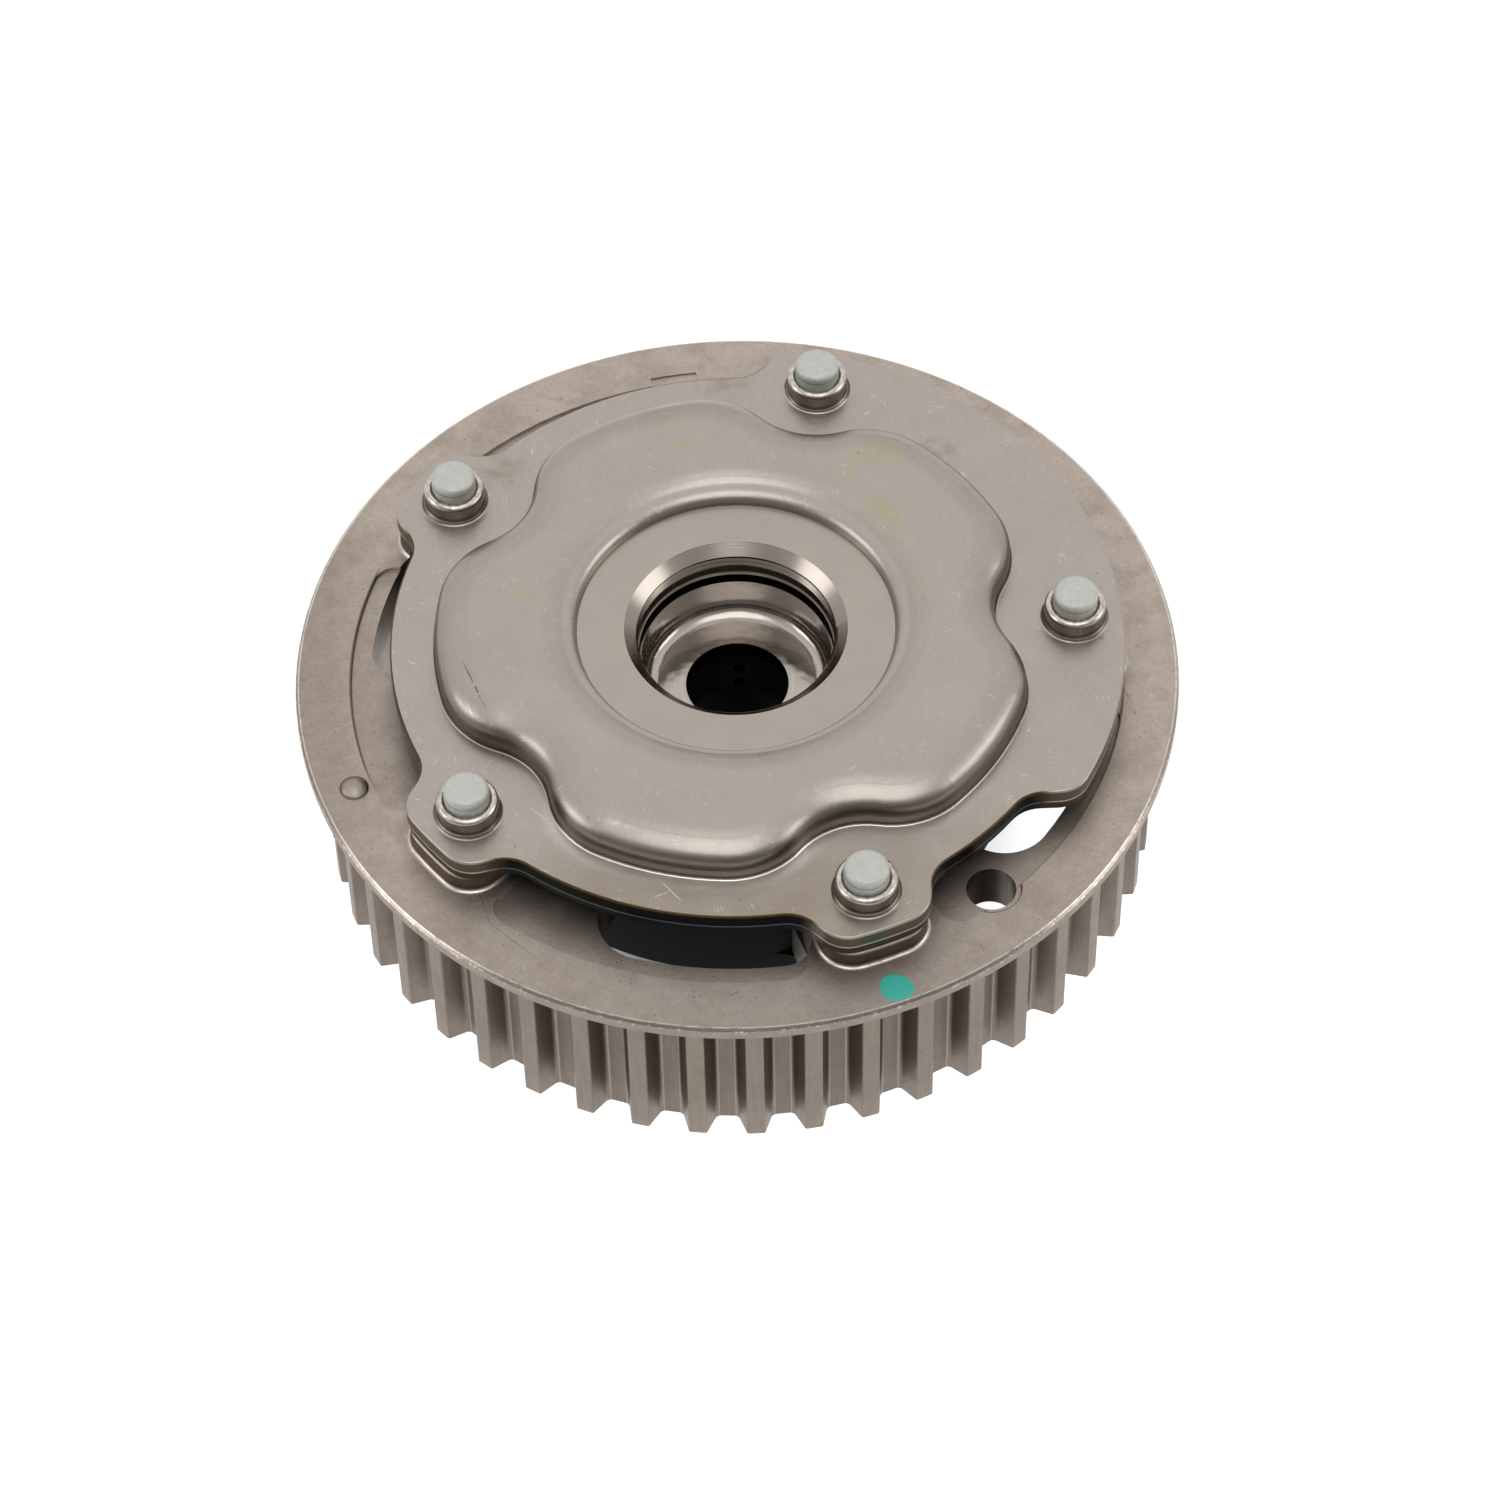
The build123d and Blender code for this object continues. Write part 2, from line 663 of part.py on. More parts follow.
def rotor():
    """Rotor: hub with vane slots, bolt bowl, spring nose, rear journal and oil holes."""
    hub = turned(
        [
            (bolt_hole_radius, pilot_floor),
            (pilot_radius, pilot_floor),
            (pilot_radius, rear_hub_face),
            (journal_radius, rear_hub_face),
            (journal_radius, rotor_rear),
            (rotor_radius, rotor_rear),
            (rotor_radius, rotor_front),
            (nose_radius, rotor_front),
            (nose_radius, nose_top),
            (nose_inner_radius, nose_top),
            (nose_inner_radius, rotor_front),
            (bowl_radius, rotor_front),
            (bowl_radius, bowl_floor),
            (bolt_hole_radius, bowl_floor),
        ]
    )
    floor_edges = [
        e
        for e in hub.edges().filter_by_position(Axis.Z, bowl_floor, bowl_floor)
        if e.radius > bolt_hole_radius + near
    ]
    hub = fillet(floor_edges, bowl_fillet)
    groove_low = rotor_rear + (oil_hole_levels[0] + oil_hole_levels[1] - oil_groove_width) / 2
    hub -= slab(Circle(oil_groove_radius), groove_low, groove_low + oil_groove_width)
    slot_length = rotor_radius + past - vane_slot_bottom
    slot = Rectangle(slot_length, 2 * vane_slot_half_width)
    slot = slab(slot, rotor_rear, rotor_front)
    drill = Plane.YZ * Circle(oil_hole_radius)
    drill = extrude(drill, amount=rotor_radius + past - bolt_hole_radius)
    for a in vane_rest_angles:
        hub -= around(slot, vane_slot_bottom + slot_length / 2, a)
        for side, level in zip((-1, 1), oil_hole_levels):
            hole = Pos(0, 0, rotor_rear + level) * drill
            hub -= around(hole, bolt_hole_radius, a + side * oil_hole_offset)
    pin_bore = slab(Circle(lock_bore_radius), rotor_rear, lock_bore_top)
    hub -= around(pin_bore, lock_distance, lock_angle)
    tang_slot = Rectangle(nose_radius, spiral_strip + 2 * tang_slot_gap)
    tang_slot = Pos(nose_inner_radius - past + nose_radius / 2, -tang_bend_radius, 0) * tang_slot
    tang_cut = slab(tang_slot, rotor_front + tang_slot_floor, nose_top)
    return hub - Rot(0, 0, spiral_angle) * tang_cut


def vane():
    """Sliding vane on +X with a rounded sealing tip."""
    half = vane_thickness / 2
    reach = math.sqrt(vane_radius**2 - half**2)
    outline = make_face(
        [
            ThreePointArc((reach, -half), (vane_radius, 0), (reach, half)),
            Line((reach, half), (vane_bottom, half)),
            Line((vane_bottom, half), (vane_bottom, -half)),
            Line((vane_bottom, -half), (reach, -half)),
        ]
    )
    outline = round_corners(outline, rotor_radius, flange_radius, vane_tip_fillet)
    return slab(outline, rotor_rear, rotor_front)


def vane_spring():
    """Bowed leaf on +X between the slot's bottom and the vane."""
    rise = vane_spring_gap - leaf_thickness - 2 * leaf_seat_gap
    half_angle = 2 * math.degrees(math.atan(rise / leaf_half_length))
    inner = leaf_half_length / math.sin(math.radians(half_angle))
    outer = inner + leaf_thickness
    leaf = Plane.XZ * sector(inner, outer, -half_angle, half_angle)
    leaf = extrude(leaf, amount=leaf_width / 2, both=True)
    middle = (rotor_rear + rotor_front) / 2
    return Pos(vane_bottom - leaf_seat_gap - outer, 0, middle) * leaf


# Lock pin, its spring and the spiral spring


def lock_pin():
    """Hollow pin, tip down, at its place in the rotor."""
    inner = lock_pin_radius - lock_pin_wall
    pin = turned(
        [
            (0, lock_pin_bottom),
            (lock_pin_radius - lock_tip_chamfer, lock_pin_bottom),
            (lock_pin_radius, lock_pin_bottom + lock_tip_chamfer),
            (lock_pin_radius, lock_pin_top),
            (inner, lock_pin_top),
            (inner, lock_pin_bottom + lock_pin_floor),
            (0, lock_pin_bottom + lock_pin_floor),
        ]
    )
    return around(pin, lock_distance, lock_angle)


def lock_spring():
    """Coil spring from the pin's floor to the end of its bore."""
    radius = lock_pin_radius - lock_pin_wall - lock_wire_radius - lock_pin_gap
    low = lock_pin_bottom + lock_pin_floor + lock_wire_radius + lock_pin_gap
    high = lock_bore_top - lock_wire_radius - lock_pin_gap
    path = Helix(pitch=(high - low) / lock_coils, height=high - low, radius=radius)
    section = Plane(origin=path @ 0, z_dir=path % 0) * Circle(lock_wire_radius)
    coil = Pos(0, 0, low) * sweep(section, path=path, is_frenet=True)
    return around(coil, lock_distance, lock_angle)


def spiral_spring():
    """Flat spiral with a tang in the rotor's nose and a hook round the anchor pin."""
    half = spiral_strip / 2
    strips = []
    for i in range(spiral_half_turns):
        radius = spiral_inner_radius + spiral_pitch / 2 * i
        start = 180 * (i % 2)
        strip = sector(radius - half, radius + half, start, start + 180)
        strips.append(Pos(spiral_pitch / 2 * (i % 2), 0, 0) * strip)
    hook = sector(hook_radius - half, hook_radius + half, -180, 0)
    strips.append(Pos(-anchor_distance, 0, 0) * hook)
    bend = sector(tang_bend_radius - half, tang_bend_radius + half, -90, 0)
    bend_centre = spiral_inner_radius - tang_bend_radius
    strips.append(Pos(bend_centre, 0, 0) * bend)
    tang_length = bend_centre - tang_inner_radius
    tang = Rectangle(tang_length, spiral_strip)
    strips.append(Pos(bend_centre - tang_length / 2, -tang_bend_radius, 0) * tang)
    outline = strips[0] + strips[1:]
    return Rot(0, 0, spiral_angle) * slab(outline, spiral_bottom, spiral_bottom + spiral_height)


def anchor_pin():
    """Pin in the stator that holds the spiral spring's outer hook."""
    pin = slab(Circle(anchor_pin_radius), boss_top - anchor_pin_depth, spiral_bottom + spiral_height)
    pin = chamfer(pin.edges().group_by(Axis.Z)[-1], anchor_pin_bevel)
    return around(pin, anchor_distance, anchor_angle)


def save(shape, name):
    """Write one piece to its own file."""
    export_step(shape, f"parts/{name}.step")


os.makedirs("parts", exist_ok=True)
save(drive_pulley(), "drive_pulley")
save(dome_cover(), "dome_cover")
save(front_seal_plate(), "front_seal_plate")
save(centre_ring(), "centre_ring")
save(stator_ring(), "stator_ring")
save(seal_ring(boss_top - ring_seal_depth / 2), "front_seal_ring")
save(seal_ring(stator_rear + ring_seal_depth / 2), "rear_seal_ring")
save(rear_cover(), "rear_cover")
save(locking_bush(), "locking_bush")
save(anchor_pin(), "spring_anchor_pin")
save(rotor(), "rotor")
save(lock_pin(), "lock_pin")
save(lock_spring(), "lock_pin_spring")
save(spiral_spring(), "bias_spring")
for number, angle in enumerate(screw_angles, start=1):
    save(Rot(0, 0, angle) * clamp_screw(), f"clamp_screw_{number}")
for number, angle in enumerate(vane_rest_angles, start=1):
    save(Rot(0, 0, angle) * vane(), f"vane_{number}")
    save(Rot(0, 0, angle) * vane_spring(), f"vane_spring_{number}")
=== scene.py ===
import math
from functools import cached_property

import bpy
from mathutils import Matrix, Vector


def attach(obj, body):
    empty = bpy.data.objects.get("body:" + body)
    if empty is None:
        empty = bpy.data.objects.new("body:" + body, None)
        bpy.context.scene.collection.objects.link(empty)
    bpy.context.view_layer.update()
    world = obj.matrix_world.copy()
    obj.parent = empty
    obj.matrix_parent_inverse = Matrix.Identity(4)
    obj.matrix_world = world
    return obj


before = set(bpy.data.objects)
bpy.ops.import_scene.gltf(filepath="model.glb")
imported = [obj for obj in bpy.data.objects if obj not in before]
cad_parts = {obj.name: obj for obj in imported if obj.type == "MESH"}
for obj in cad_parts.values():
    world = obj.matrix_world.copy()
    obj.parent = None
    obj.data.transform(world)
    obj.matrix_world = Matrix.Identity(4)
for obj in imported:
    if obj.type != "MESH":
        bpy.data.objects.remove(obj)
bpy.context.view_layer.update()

bl_info = {
    "name": "Camshaft Sprocket Finish",
    "version": (1, 0, 0),
    "blender": (4, 5, 0),
    "location": "View3D > Sidebar > Sprocket",
    "description": "Finishes and small fittings of a camshaft sprocket with a timing adjuster",
    "category": "Object",
}

# The Blender scene is in metres. Sizes of pieces are written in millimetres times MM, and the
# patterns of the finishes work in plain millimetres.
MM = 0.001
# heights of the solids that the finishes follow, in millimetres above the rim's rear face
BORE_BOTTOM = 6.0
WINDOW_SHOULDER = 20.6
BORE_TOP = 24.6
TEETH_TOP = 26.5
LEDGE_TOP = 28.0
FLANGE_TOP = 28.6
SHEET_BOTTOM = 33.26
SHEET_TOP = 35.4
COLLAR_TOP = 37.7
SCREW_GROOVE = 39.5
# distances of the solids from the axis, in millimetres
BORE_RADIUS = 9.75
RING_CHAMFER = 15.5
RING_RADIUS = 21.7
EAR_INSIDE = 45.5
WINDOW_RADIUS = 50.8
EAR_TIP = 53.0
LEDGE_RADIUS = 53.1
ROOT_RADIUS = 56.3
CHAMFER_RADIUS = 60.25
# outline of the cover's dome in millimetres: a circle with a round waist at each of the five
# screws, and round corners between them. Half the way from screw to screw is in degrees.
SCREW_CIRCLE = 46.38
DOME_RADIUS = 41.1
DOME_WAIST = 11.0
DOME_CORNER = 12.0
HALF_PITCH = 36
# small marks and holes, as x and y in millimetres
PIP_PLACE = (-52.94, -17.0)
PIP_RADIUS = 1.9
TOOL_HOLE = (31.3, -40.0)
TOOL_HOLE_RADIUS = 3.46


def linear(code):
    """Linear colour with alpha from an sRGB hex code."""
    parts = [int(code[i : i + 2], 16) / 255 for i in (1, 3, 5)]
    low = 0.04045
    return tuple([c / 12.92 if c <= low else ((c + 0.055) / 1.055) ** 2.4 for c in parts] + [1.0])


# Shader building


def put(tree, kind, inputs=None, stops=None, **settings):
    """Add one shader node with its settings, its colour stops and its inputs, linked or set."""
    node = tree.nodes.new(kind)
    for name, value in settings.items():
        setattr(node, name, value)
    if stops:
        ramp = node.color_ramp.elements
        while len(ramp) < len(stops):
            ramp.new(1.0)
        for element, (place, colour) in zip(ramp, stops):
            element.position = place
            element.color = colour
    for name, value in (inputs or {}).items():
        if isinstance(value, bpy.types.NodeSocket):
            tree.links.new(value, node.inputs[name])
        else:
            node.inputs[name].default_value = value
    return node


class Finish:
    """A material being made: its shader, its colour so far and the patterns that it can lay."""

    def __init__(self, name, colour, roughness, metallic=1.0):
        self.material = bpy.data.materials.new(name)
        self.material.use_nodes = True
        self.tree = self.material.node_tree
        self.shader = self.tree.nodes["Principled BSDF"]
        self.shader.inputs["Roughness"].default_value = roughness
        self.shader.inputs["Metallic"].default_value = metallic
        self.colour = colour
        place = put(self.tree, "ShaderNodeTexCoord")
        self.normal = place.outputs["Normal"]
        self.mm = self.result(
            "ShaderNodeVectorMath", {0: place.outputs["Object"], "Scale": 1 / MM}, operation="SCALE"
        )
        self.x, self.y, self.z = put(self.tree, "ShaderNodeSeparateXYZ", {0: self.mm}).outputs

    def result(self, kind, inputs, stops=None, **settings):
        """Result of a new node in this material."""
        made = put(self.tree, kind, inputs, stops, **settings)
        return next(socket for socket in made.outputs if socket.enabled)

    # where a point is and how its face lies

    @cached_property
    def from_axis(self):
        """The way from the camshaft axis to a point, level, in millimetres."""
        return self.result("ShaderNodeCombineXYZ", {0: self.x, 1: self.y})

    @cached_property
    def radius(self):
        """Distance from the camshaft axis in millimetres."""
        return self.result("ShaderNodeVectorMath", {0: self.from_axis}, operation="LENGTH")

    @cached_property
    def angle(self):
        """Angle about the camshaft axis in degrees, from -180 to 180."""
        turn = self.result("ShaderNodeMath", {0: self.y, 1: self.x}, operation="ARCTAN2")
        return self.times(turn, 180 / math.pi)

    @cached_property
    def up(self):
        """How far a face looks up, from -1 to 1."""
        return put(self.tree, "ShaderNodeSeparateXYZ", {0: self.normal}).outputs[2]

    @cached_property
    def steep(self):
        """1 on faces that stand steeply."""
        return self.below(self.up, 0.4, 0.1)

    @cached_property
    def out(self):
        """How far a face looks away from the camshaft axis, from -1 to 1."""
        way = self.result("ShaderNodeVectorMath", {0: self.from_axis}, operation="NORMALIZE")
        return self.result(
            "ShaderNodeVectorMath", {0: way, 1: self.normal}, operation="DOT_PRODUCT"
        )

    @cached_property
    def dome_inset(self):
        """How far a point lies inside the dome's outline in millimetres, below 0 outside it."""
        reach = DOME_RADIUS - DOME_CORNER
        span = DOME_WAIST + DOME_CORNER
        lean = (reach**2 + SCREW_CIRCLE**2 - span**2) / (2 * reach * SCREW_CIRCLE)
        corner = Vector((reach * lean, reach * math.sqrt(1 - lean**2), 0))
        screw = Vector((SCREW_CIRCLE, 0, 0))
        outer_way = corner.normalized()
        waist_way = (screw - corner).normalized()
        middle = (outer_way + waist_way).normalized()
        # every half pitch is the same, so that one of them is enough
        wrap = {0: self.angle, 1: HALF_PITCH, 2: -HALF_PITCH}
        fold = self.result("ShaderNodeMath", wrap, operation="WRAP")
        for step in ("ABSOLUTE", "RADIANS"):
            fold = self.result("ShaderNodeMath", {0: fold}, operation=step)
        across, aside = [
            self.times(self.radius, self.result("ShaderNodeMath", {0: fold}, operation=part))
            for part in ("COSINE", "SINE")
        ]
        point = self.result("ShaderNodeCombineXYZ", {0: across, 1: aside})
        to_screw, to_corner = [
            self.result("ShaderNodeVectorMath", {0: point, 1: centre}, operation="DISTANCE")
            for centre in (screw, corner)
        ]
        from_corner = self.result(
            "ShaderNodeVectorMath", {0: point, 1: corner}, operation="SUBTRACT"
        )
        along = self.result(
            "ShaderNodeVectorMath", {0: from_corner, 1: middle}, operation="DOT_PRODUCT"
        )
        from_circles = {0: self.less(DOME_RADIUS, self.radius), 1: self.less(to_screw, DOME_WAIST)}
        inside = self.result("ShaderNodeMath", from_circles, operation="MINIMUM")
        limit = self.times(to_corner, outer_way.dot(middle))
        at_corner = self.result("ShaderNodeMath", {0: along, 1: limit}, operation="GREATER_THAN")
        rounded = self.less(DOME_CORNER, to_corner)
        return self.scaled(self.less(rounded, inside), at_corner, inside)

    def apart(self, x, y):
        """Distance from a place on the top, seen from above, in millimetres."""
        offset = self.result(
            "ShaderNodeVectorMath", {0: self.mm, 1: (x, y, 0)}, operation="SUBTRACT"
        )
        level = self.result("ShaderNodeVectorMath", {0: offset, 1: (1, 1, 0)}, operation="MULTIPLY")
        return self.result("ShaderNodeVectorMath", {0: level}, operation="LENGTH")

    def stretched(self, x, y, z, turn=0.0):
        """Millimetre coordinates turned about the axis by some degrees and scaled per axis."""
        turned = self.result(
            "ShaderNodeMapping", {"Vector": self.mm, "Rotation": (0, 0, math.radians(turn))}
        )
        return self.result("ShaderNodeMapping", {"Vector": turned, "Scale": (x, y, z)})

    # random patterns

    def noise(self, size, detail=2.0, vector=None):
        """Soft random pattern whose grains are about size millimetres across."""
        place = self.mm if vector is None else vector
        return self.result(
            "ShaderNodeTexNoise", {"Vector": place, "Scale": 1 / size, "Detail": detail}
        )

    def rings(self, pitch):
        """Turning marks: random rings about the axis, with their pitch in millimetres."""
        return self.result(
            "ShaderNodeTexNoise", {"W": self.radius, "Scale": 1 / pitch}, noise_dimensions="1D"
        )

    def spots(self, size, spread):
        """Small round spots of about size millimetres, one in each cell of spread millimetres."""
        cells = self.result("ShaderNodeTexVoronoi", {"Vector": self.mm, "Scale": 1 / spread})
        return self.band(cells, size / spread, 0.6 * size / spread)

    # masks

    def band(self, value, low, high):
        """0 to 1 as a value goes from low to high, clamped."""
        limits = {"Value": value, "From Min": low, "From Max": high}
        return self.result("ShaderNodeMapRange", limits)

    def above(self, value, level, soft):
        """1 where a value is above a level, with a soft border."""
        return self.band(value, level - soft, level + soft)

    def below(self, value, level, soft):
        """1 where a value is below a level, with a soft border."""
        return self.band(value, level + soft, level - soft)

    def within(self, value, low, high, soft):
        """1 where a value lies between two limits, with soft ends."""
        return self.times(self.above(value, low, soft), self.below(value, high, soft))

    def near(self, x, y, size):
        """1 at a place on the top given in millimetres, falling to 0 at its size."""
        return self.band(self.apart(x, y), size, 0.2 * size)

    def stroke(self, start, end, width):
        """1 along a straight mark between two places on the top, all in millimetres."""
        start = Vector((*start, 0))
        way = Vector((*end, 0)) - start
        length = way.length
        offset = self.result("ShaderNodeVectorMath", {0: self.mm, 1: start}, operation="SUBTRACT")
        along, aside = [
            self.result("ShaderNodeVectorMath", {0: offset, 1: line}, operation="DOT_PRODUCT")
            for line in (way / length, Vector((-way.y, way.x, 0)) / length)
        ]
        aside = self.result("ShaderNodeMath", {0: aside}, operation="ABSOLUTE")
        ends = self.within(along, 0, length, 0.2 * length)
        return self.times(self.band(aside, width, 0.4 * width), ends)

    # sums of masks and patterns

    def times(self, *values):
        """Product of masks."""
        product = values[0]
        for value in values[1:]:
            product = self.result("ShaderNodeMath", {0: product, 1: value}, operation="MULTIPLY")
        return product

    def most(self, *values):
        """The strongest of several masks."""
        strongest = values[0]
        for value in values[1:]:
            strongest = self.result("ShaderNodeMath", {0: strongest, 1: value}, operation="MAXIMUM")
        return strongest

    def less(self, value, other):
        """A value less another one."""
        return self.result("ShaderNodeMath", {0: value, 1: other}, operation="SUBTRACT")

    def scaled(self, value, factor, start):
        """A value times a factor, added to a start."""
        return self.result(
            "ShaderNodeMath", {0: value, 1: factor, 2: start}, operation="MULTIPLY_ADD"
        )

    # what the shader gets

    def mixed(self, under, over, mask, blend="MIX"):
        """One colour over another where the mask is 1."""
        inputs = {0: mask, 6: under, 7: over}
        return self.result("ShaderNodeMix", inputs, data_type="RGBA", blend_type=blend)

    def paint(self, colour):
        """Use this colour from here on."""
        self.colour = colour
        self.tree.links.new(colour, self.shader.inputs["Base Color"])

    def lay(self, colour, mask):
        """Lay a colour over the colour so far where the mask is 1."""
        self.paint(self.mixed(self.colour, colour, mask))

    def mottle(self, amount, pattern, mask=None):
        """Make the colour so far lighter and darker by a pattern about its middle value."""
        factor = self.scaled(pattern, 2 * amount, 1 - amount)
        grey = self.result("ShaderNodeCombineXYZ", {0: factor, 1: factor, 2: factor})
        mottled = self.mixed(self.colour, grey, 1.0, "MULTIPLY")
        if mask is None:
            self.paint(mottled)
        else:
            self.lay(mottled, mask)

    def roughness(self, value):
        """Use this roughness on the shader."""
        self.tree.links.new(value, self.shader.inputs["Roughness"])

    def relief(self, height, depth):
        """Surface relief from a pattern, its depth in millimetres."""
        bump = self.result(
            "ShaderNodeBump", {"Height": height, "Distance": depth * MM, "Strength": 1.0}
        )
        self.tree.links.new(bump, self.shader.inputs["Normal"])


def clothe(names, finish):
    """Give CAD nodes a material in place of the plain one."""
    for name in names:
        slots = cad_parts[name].data.materials
        slots.clear()
        slots.append(finish.material)


# Sintered steel of the toothed wheel


def sintered_steel(settings):
    """Pressed and sintered iron powder, ground on its faces: warm grey, porous, stained brown."""
    skin = Finish("sintered_steel", settings.steel, 0.45)
    stain_flange(skin, settings)
    fillet = streak_and_shade_teeth(skin, settings)
    # pores of the powder metal, drawn about twice their real size so that they show
    pores = skin.times(skin.spots(0.16, 1.1), skin.band(skin.noise(3.0, 1.0), 0.45, 0.6))
    skin.lay(settings.pore_and_shade, skin.times(pores, 0.5))
    chamfer = highlight_and_wear_flange_corner(skin, settings)
    foot = shade_and_highlight_pillars(skin, settings)
    mark_ledge(skin, settings)
    shade_tool_hole(skin, settings)
    shade_pip(skin, settings)
    shade_windows(skin, settings)
    rough = skin.scaled(skin.noise(2.5, 2.0), 0.16, 0.36)
    smooth = skin.most(skin.times(chamfer, 0.20), skin.times(foot, 0.15), skin.times(fillet, 0.05))
    skin.roughness(skin.less(rough, smooth))
    skin.relief(skin.less(skin.noise(0.5, 2.0), pores), 0.02)
    return skin


def stain_flange(skin, settings):
    """Ground faces: paler away from the paint mark, browner in patches and at the left."""
    on_top = skin.above(skin.z, TEETH_TOP + 0.5, 1.0)
    skin.lay(settings.pale, skin.times(skin.above(skin.y, -45, 15), on_top))
    patches = skin.band(skin.noise(5.0, 4.0), 0.45, 0.65)
    skin.lay(settings.brown, skin.times(patches, 0.35))
    skin.lay(settings.brown, skin.times(skin.below(skin.x, -52, 4), on_top, 0.55))
    skin.mottle(0.10, skin.noise(1.6, 3.0))
    skin.mottle(0.16, skin.noise(0.45, 2.0))


def streak_and_shade_teeth(skin, settings):
    """Toothed rim: press tool streaks, painted shade on flanks and roots. Gives the root fillets.
    """
    outside = skin.above(skin.radius, 53.65, 0.15)
    rim = skin.times(outside, skin.below(skin.z, TEETH_TOP, 0.1), skin.steep)
    skin.mottle(0.40, skin.noise(0.45, 2.0, skin.stretched(1.0, 1.0, 0.05)), rim)
    skin.lay(settings.brown, skin.times(rim, 0.65))
    # painted shadow of the flange on the upper flanks, strongest in front
    flank = skin.times(rim, skin.below(skin.out, 0.81, 0.09))
    depth = skin.above(skin.scaled(skin.noise(3.0, 2.0), 4.0, skin.z), 8.0, 4.0)
    front = skin.below(skin.y, -39, 9)
    flank_shade = skin.scaled(skin.times(depth, front), 0.38, 0.18)
    skin.lay(settings.painted_shade, skin.times(flank, flank_shade))
    root = skin.times(rim, skin.below(skin.radius, ROOT_RADIUS, 0.3))
    # painted shade on the roots between the teeth
    skin.lay(settings.painted_shade, skin.times(root, skin.above(skin.out, 0.81, 0.09), 0.28))
    # painted highlight: a thin bright line on the root fillets
    fillet = skin.times(root, skin.within(skin.out, 0.90, 0.975, 0.012))
    skin.lay(settings.wear_and_highlight, skin.times(fillet, 0.2))
    return fillet


def highlight_and_wear_flange_corner(skin, settings):
    """Flange's corner: painted highlight on the chamfer, dents from wear on its side. Gives the
    smooth chamfer.
    """
    chamfer = skin.times(
        skin.above(skin.radius, CHAMFER_RADIUS, 0.05),
        skin.above(skin.z, FLANGE_TOP - 0.5, 0.1),
        skin.above(skin.up, 0.3, 0.1),
    )
    line = skin.times(
        skin.above(skin.radius, CHAMFER_RADIUS - 0.05, 0.04),
        skin.below(skin.radius, CHAMFER_RADIUS + 0.13, 0.04),
        skin.above(skin.z, FLANGE_TOP - 0.425, 0.075),
    )
    # painted highlight along the chamfer, broken up by a pattern
    skin.lay(settings.wear_and_highlight, skin.times(line, skin.band(skin.noise(1.2, 2.0), 0.25, 0.5), 0.9))
    side = skin.times(
        skin.above(skin.radius, CHAMFER_RADIUS + 0.3, 0.05),
        skin.above(skin.z, FLANGE_TOP - 0.85, 0.35),
    )
    skin.lay(settings.wear_and_highlight, skin.times(side, skin.band(skin.noise(0.9, 3.0), 0.56, 0.66), 0.7))
    return chamfer


def shade_and_highlight_pillars(skin, settings):
    """Pillars: painted shade on their sides, painted highlight at their foot. Gives that foot line.
    """
    inside = skin.below(skin.radius, LEDGE_RADIUS + 0.2, 0.1)
    pillar = skin.times(inside, skin.below(skin.up, 0.5, 0.1))
    side = skin.times(pillar, skin.within(skin.z, FLANGE_TOP + 0.25, FLANGE_TOP + 2.7, 0.12))
    # painted shade on the pillars' sides
    skin.lay(settings.scale, skin.times(side, 0.8))
    foot = skin.times(
        skin.below(skin.radius, LEDGE_RADIUS + 1.2, 0.1),
        skin.within(skin.z, LEDGE_TOP + 0.15, LEDGE_TOP + 0.8, 0.06),
        skin.below(skin.up, 0.935, 0.035),
    )
    # painted highlight along the pillars' foot
    skin.lay(settings.wear_and_highlight, skin.times(foot, skin.band(skin.noise(2.5, 2.0), 0.3, 0.5), 0.8))
    return foot


def mark_ledge(skin, settings):
    """Ledge inside the flange: painted shade, a painted shadow line on its step, fine cracks."""
    inside = skin.below(skin.radius, LEDGE_RADIUS - 0.05, 0.05)
    level = skin.above(skin.up, 0.935, 0.035)
    ledge = skin.times(inside, skin.within(skin.z, LEDGE_TOP - 0.1, LEDGE_TOP + 0.4, 0.05), level)
    # painted shade on the ledge
    skin.lay(settings.scale, skin.times(ledge, 0.14))
    step = skin.within(skin.radius, LEDGE_RADIUS - 0.15, LEDGE_RADIUS + 0.2, 0.04)
    step = skin.times(step, skin.above(skin.z, LEDGE_TOP + 0.025, 0.025))
    # painted shadow on the step: it fades towards the front at the right, and is even at the left
    fading = skin.scaled(skin.above(skin.angle, -35, 15), 0.5, 0.3)
    right = skin.times(skin.within(skin.angle, -52, -8, 4), fading)
    left = skin.most(skin.above(skin.angle, 157, 1), skin.below(skin.angle, -163, 3))
    skin.lay(settings.pore_and_shade, skin.times(step, skin.most(right, skin.times(left, 0.8))))
    cracks = skin.most(*[skin.stroke(*mark) for mark in settings.cracks()])
    on_top = skin.times(skin.above(skin.z, LEDGE_TOP - 0.05, 0.05), skin.above(skin.up, 0.85, 0.05))
    skin.lay(settings.pore_and_shade, skin.times(cracks, on_top, 0.5))


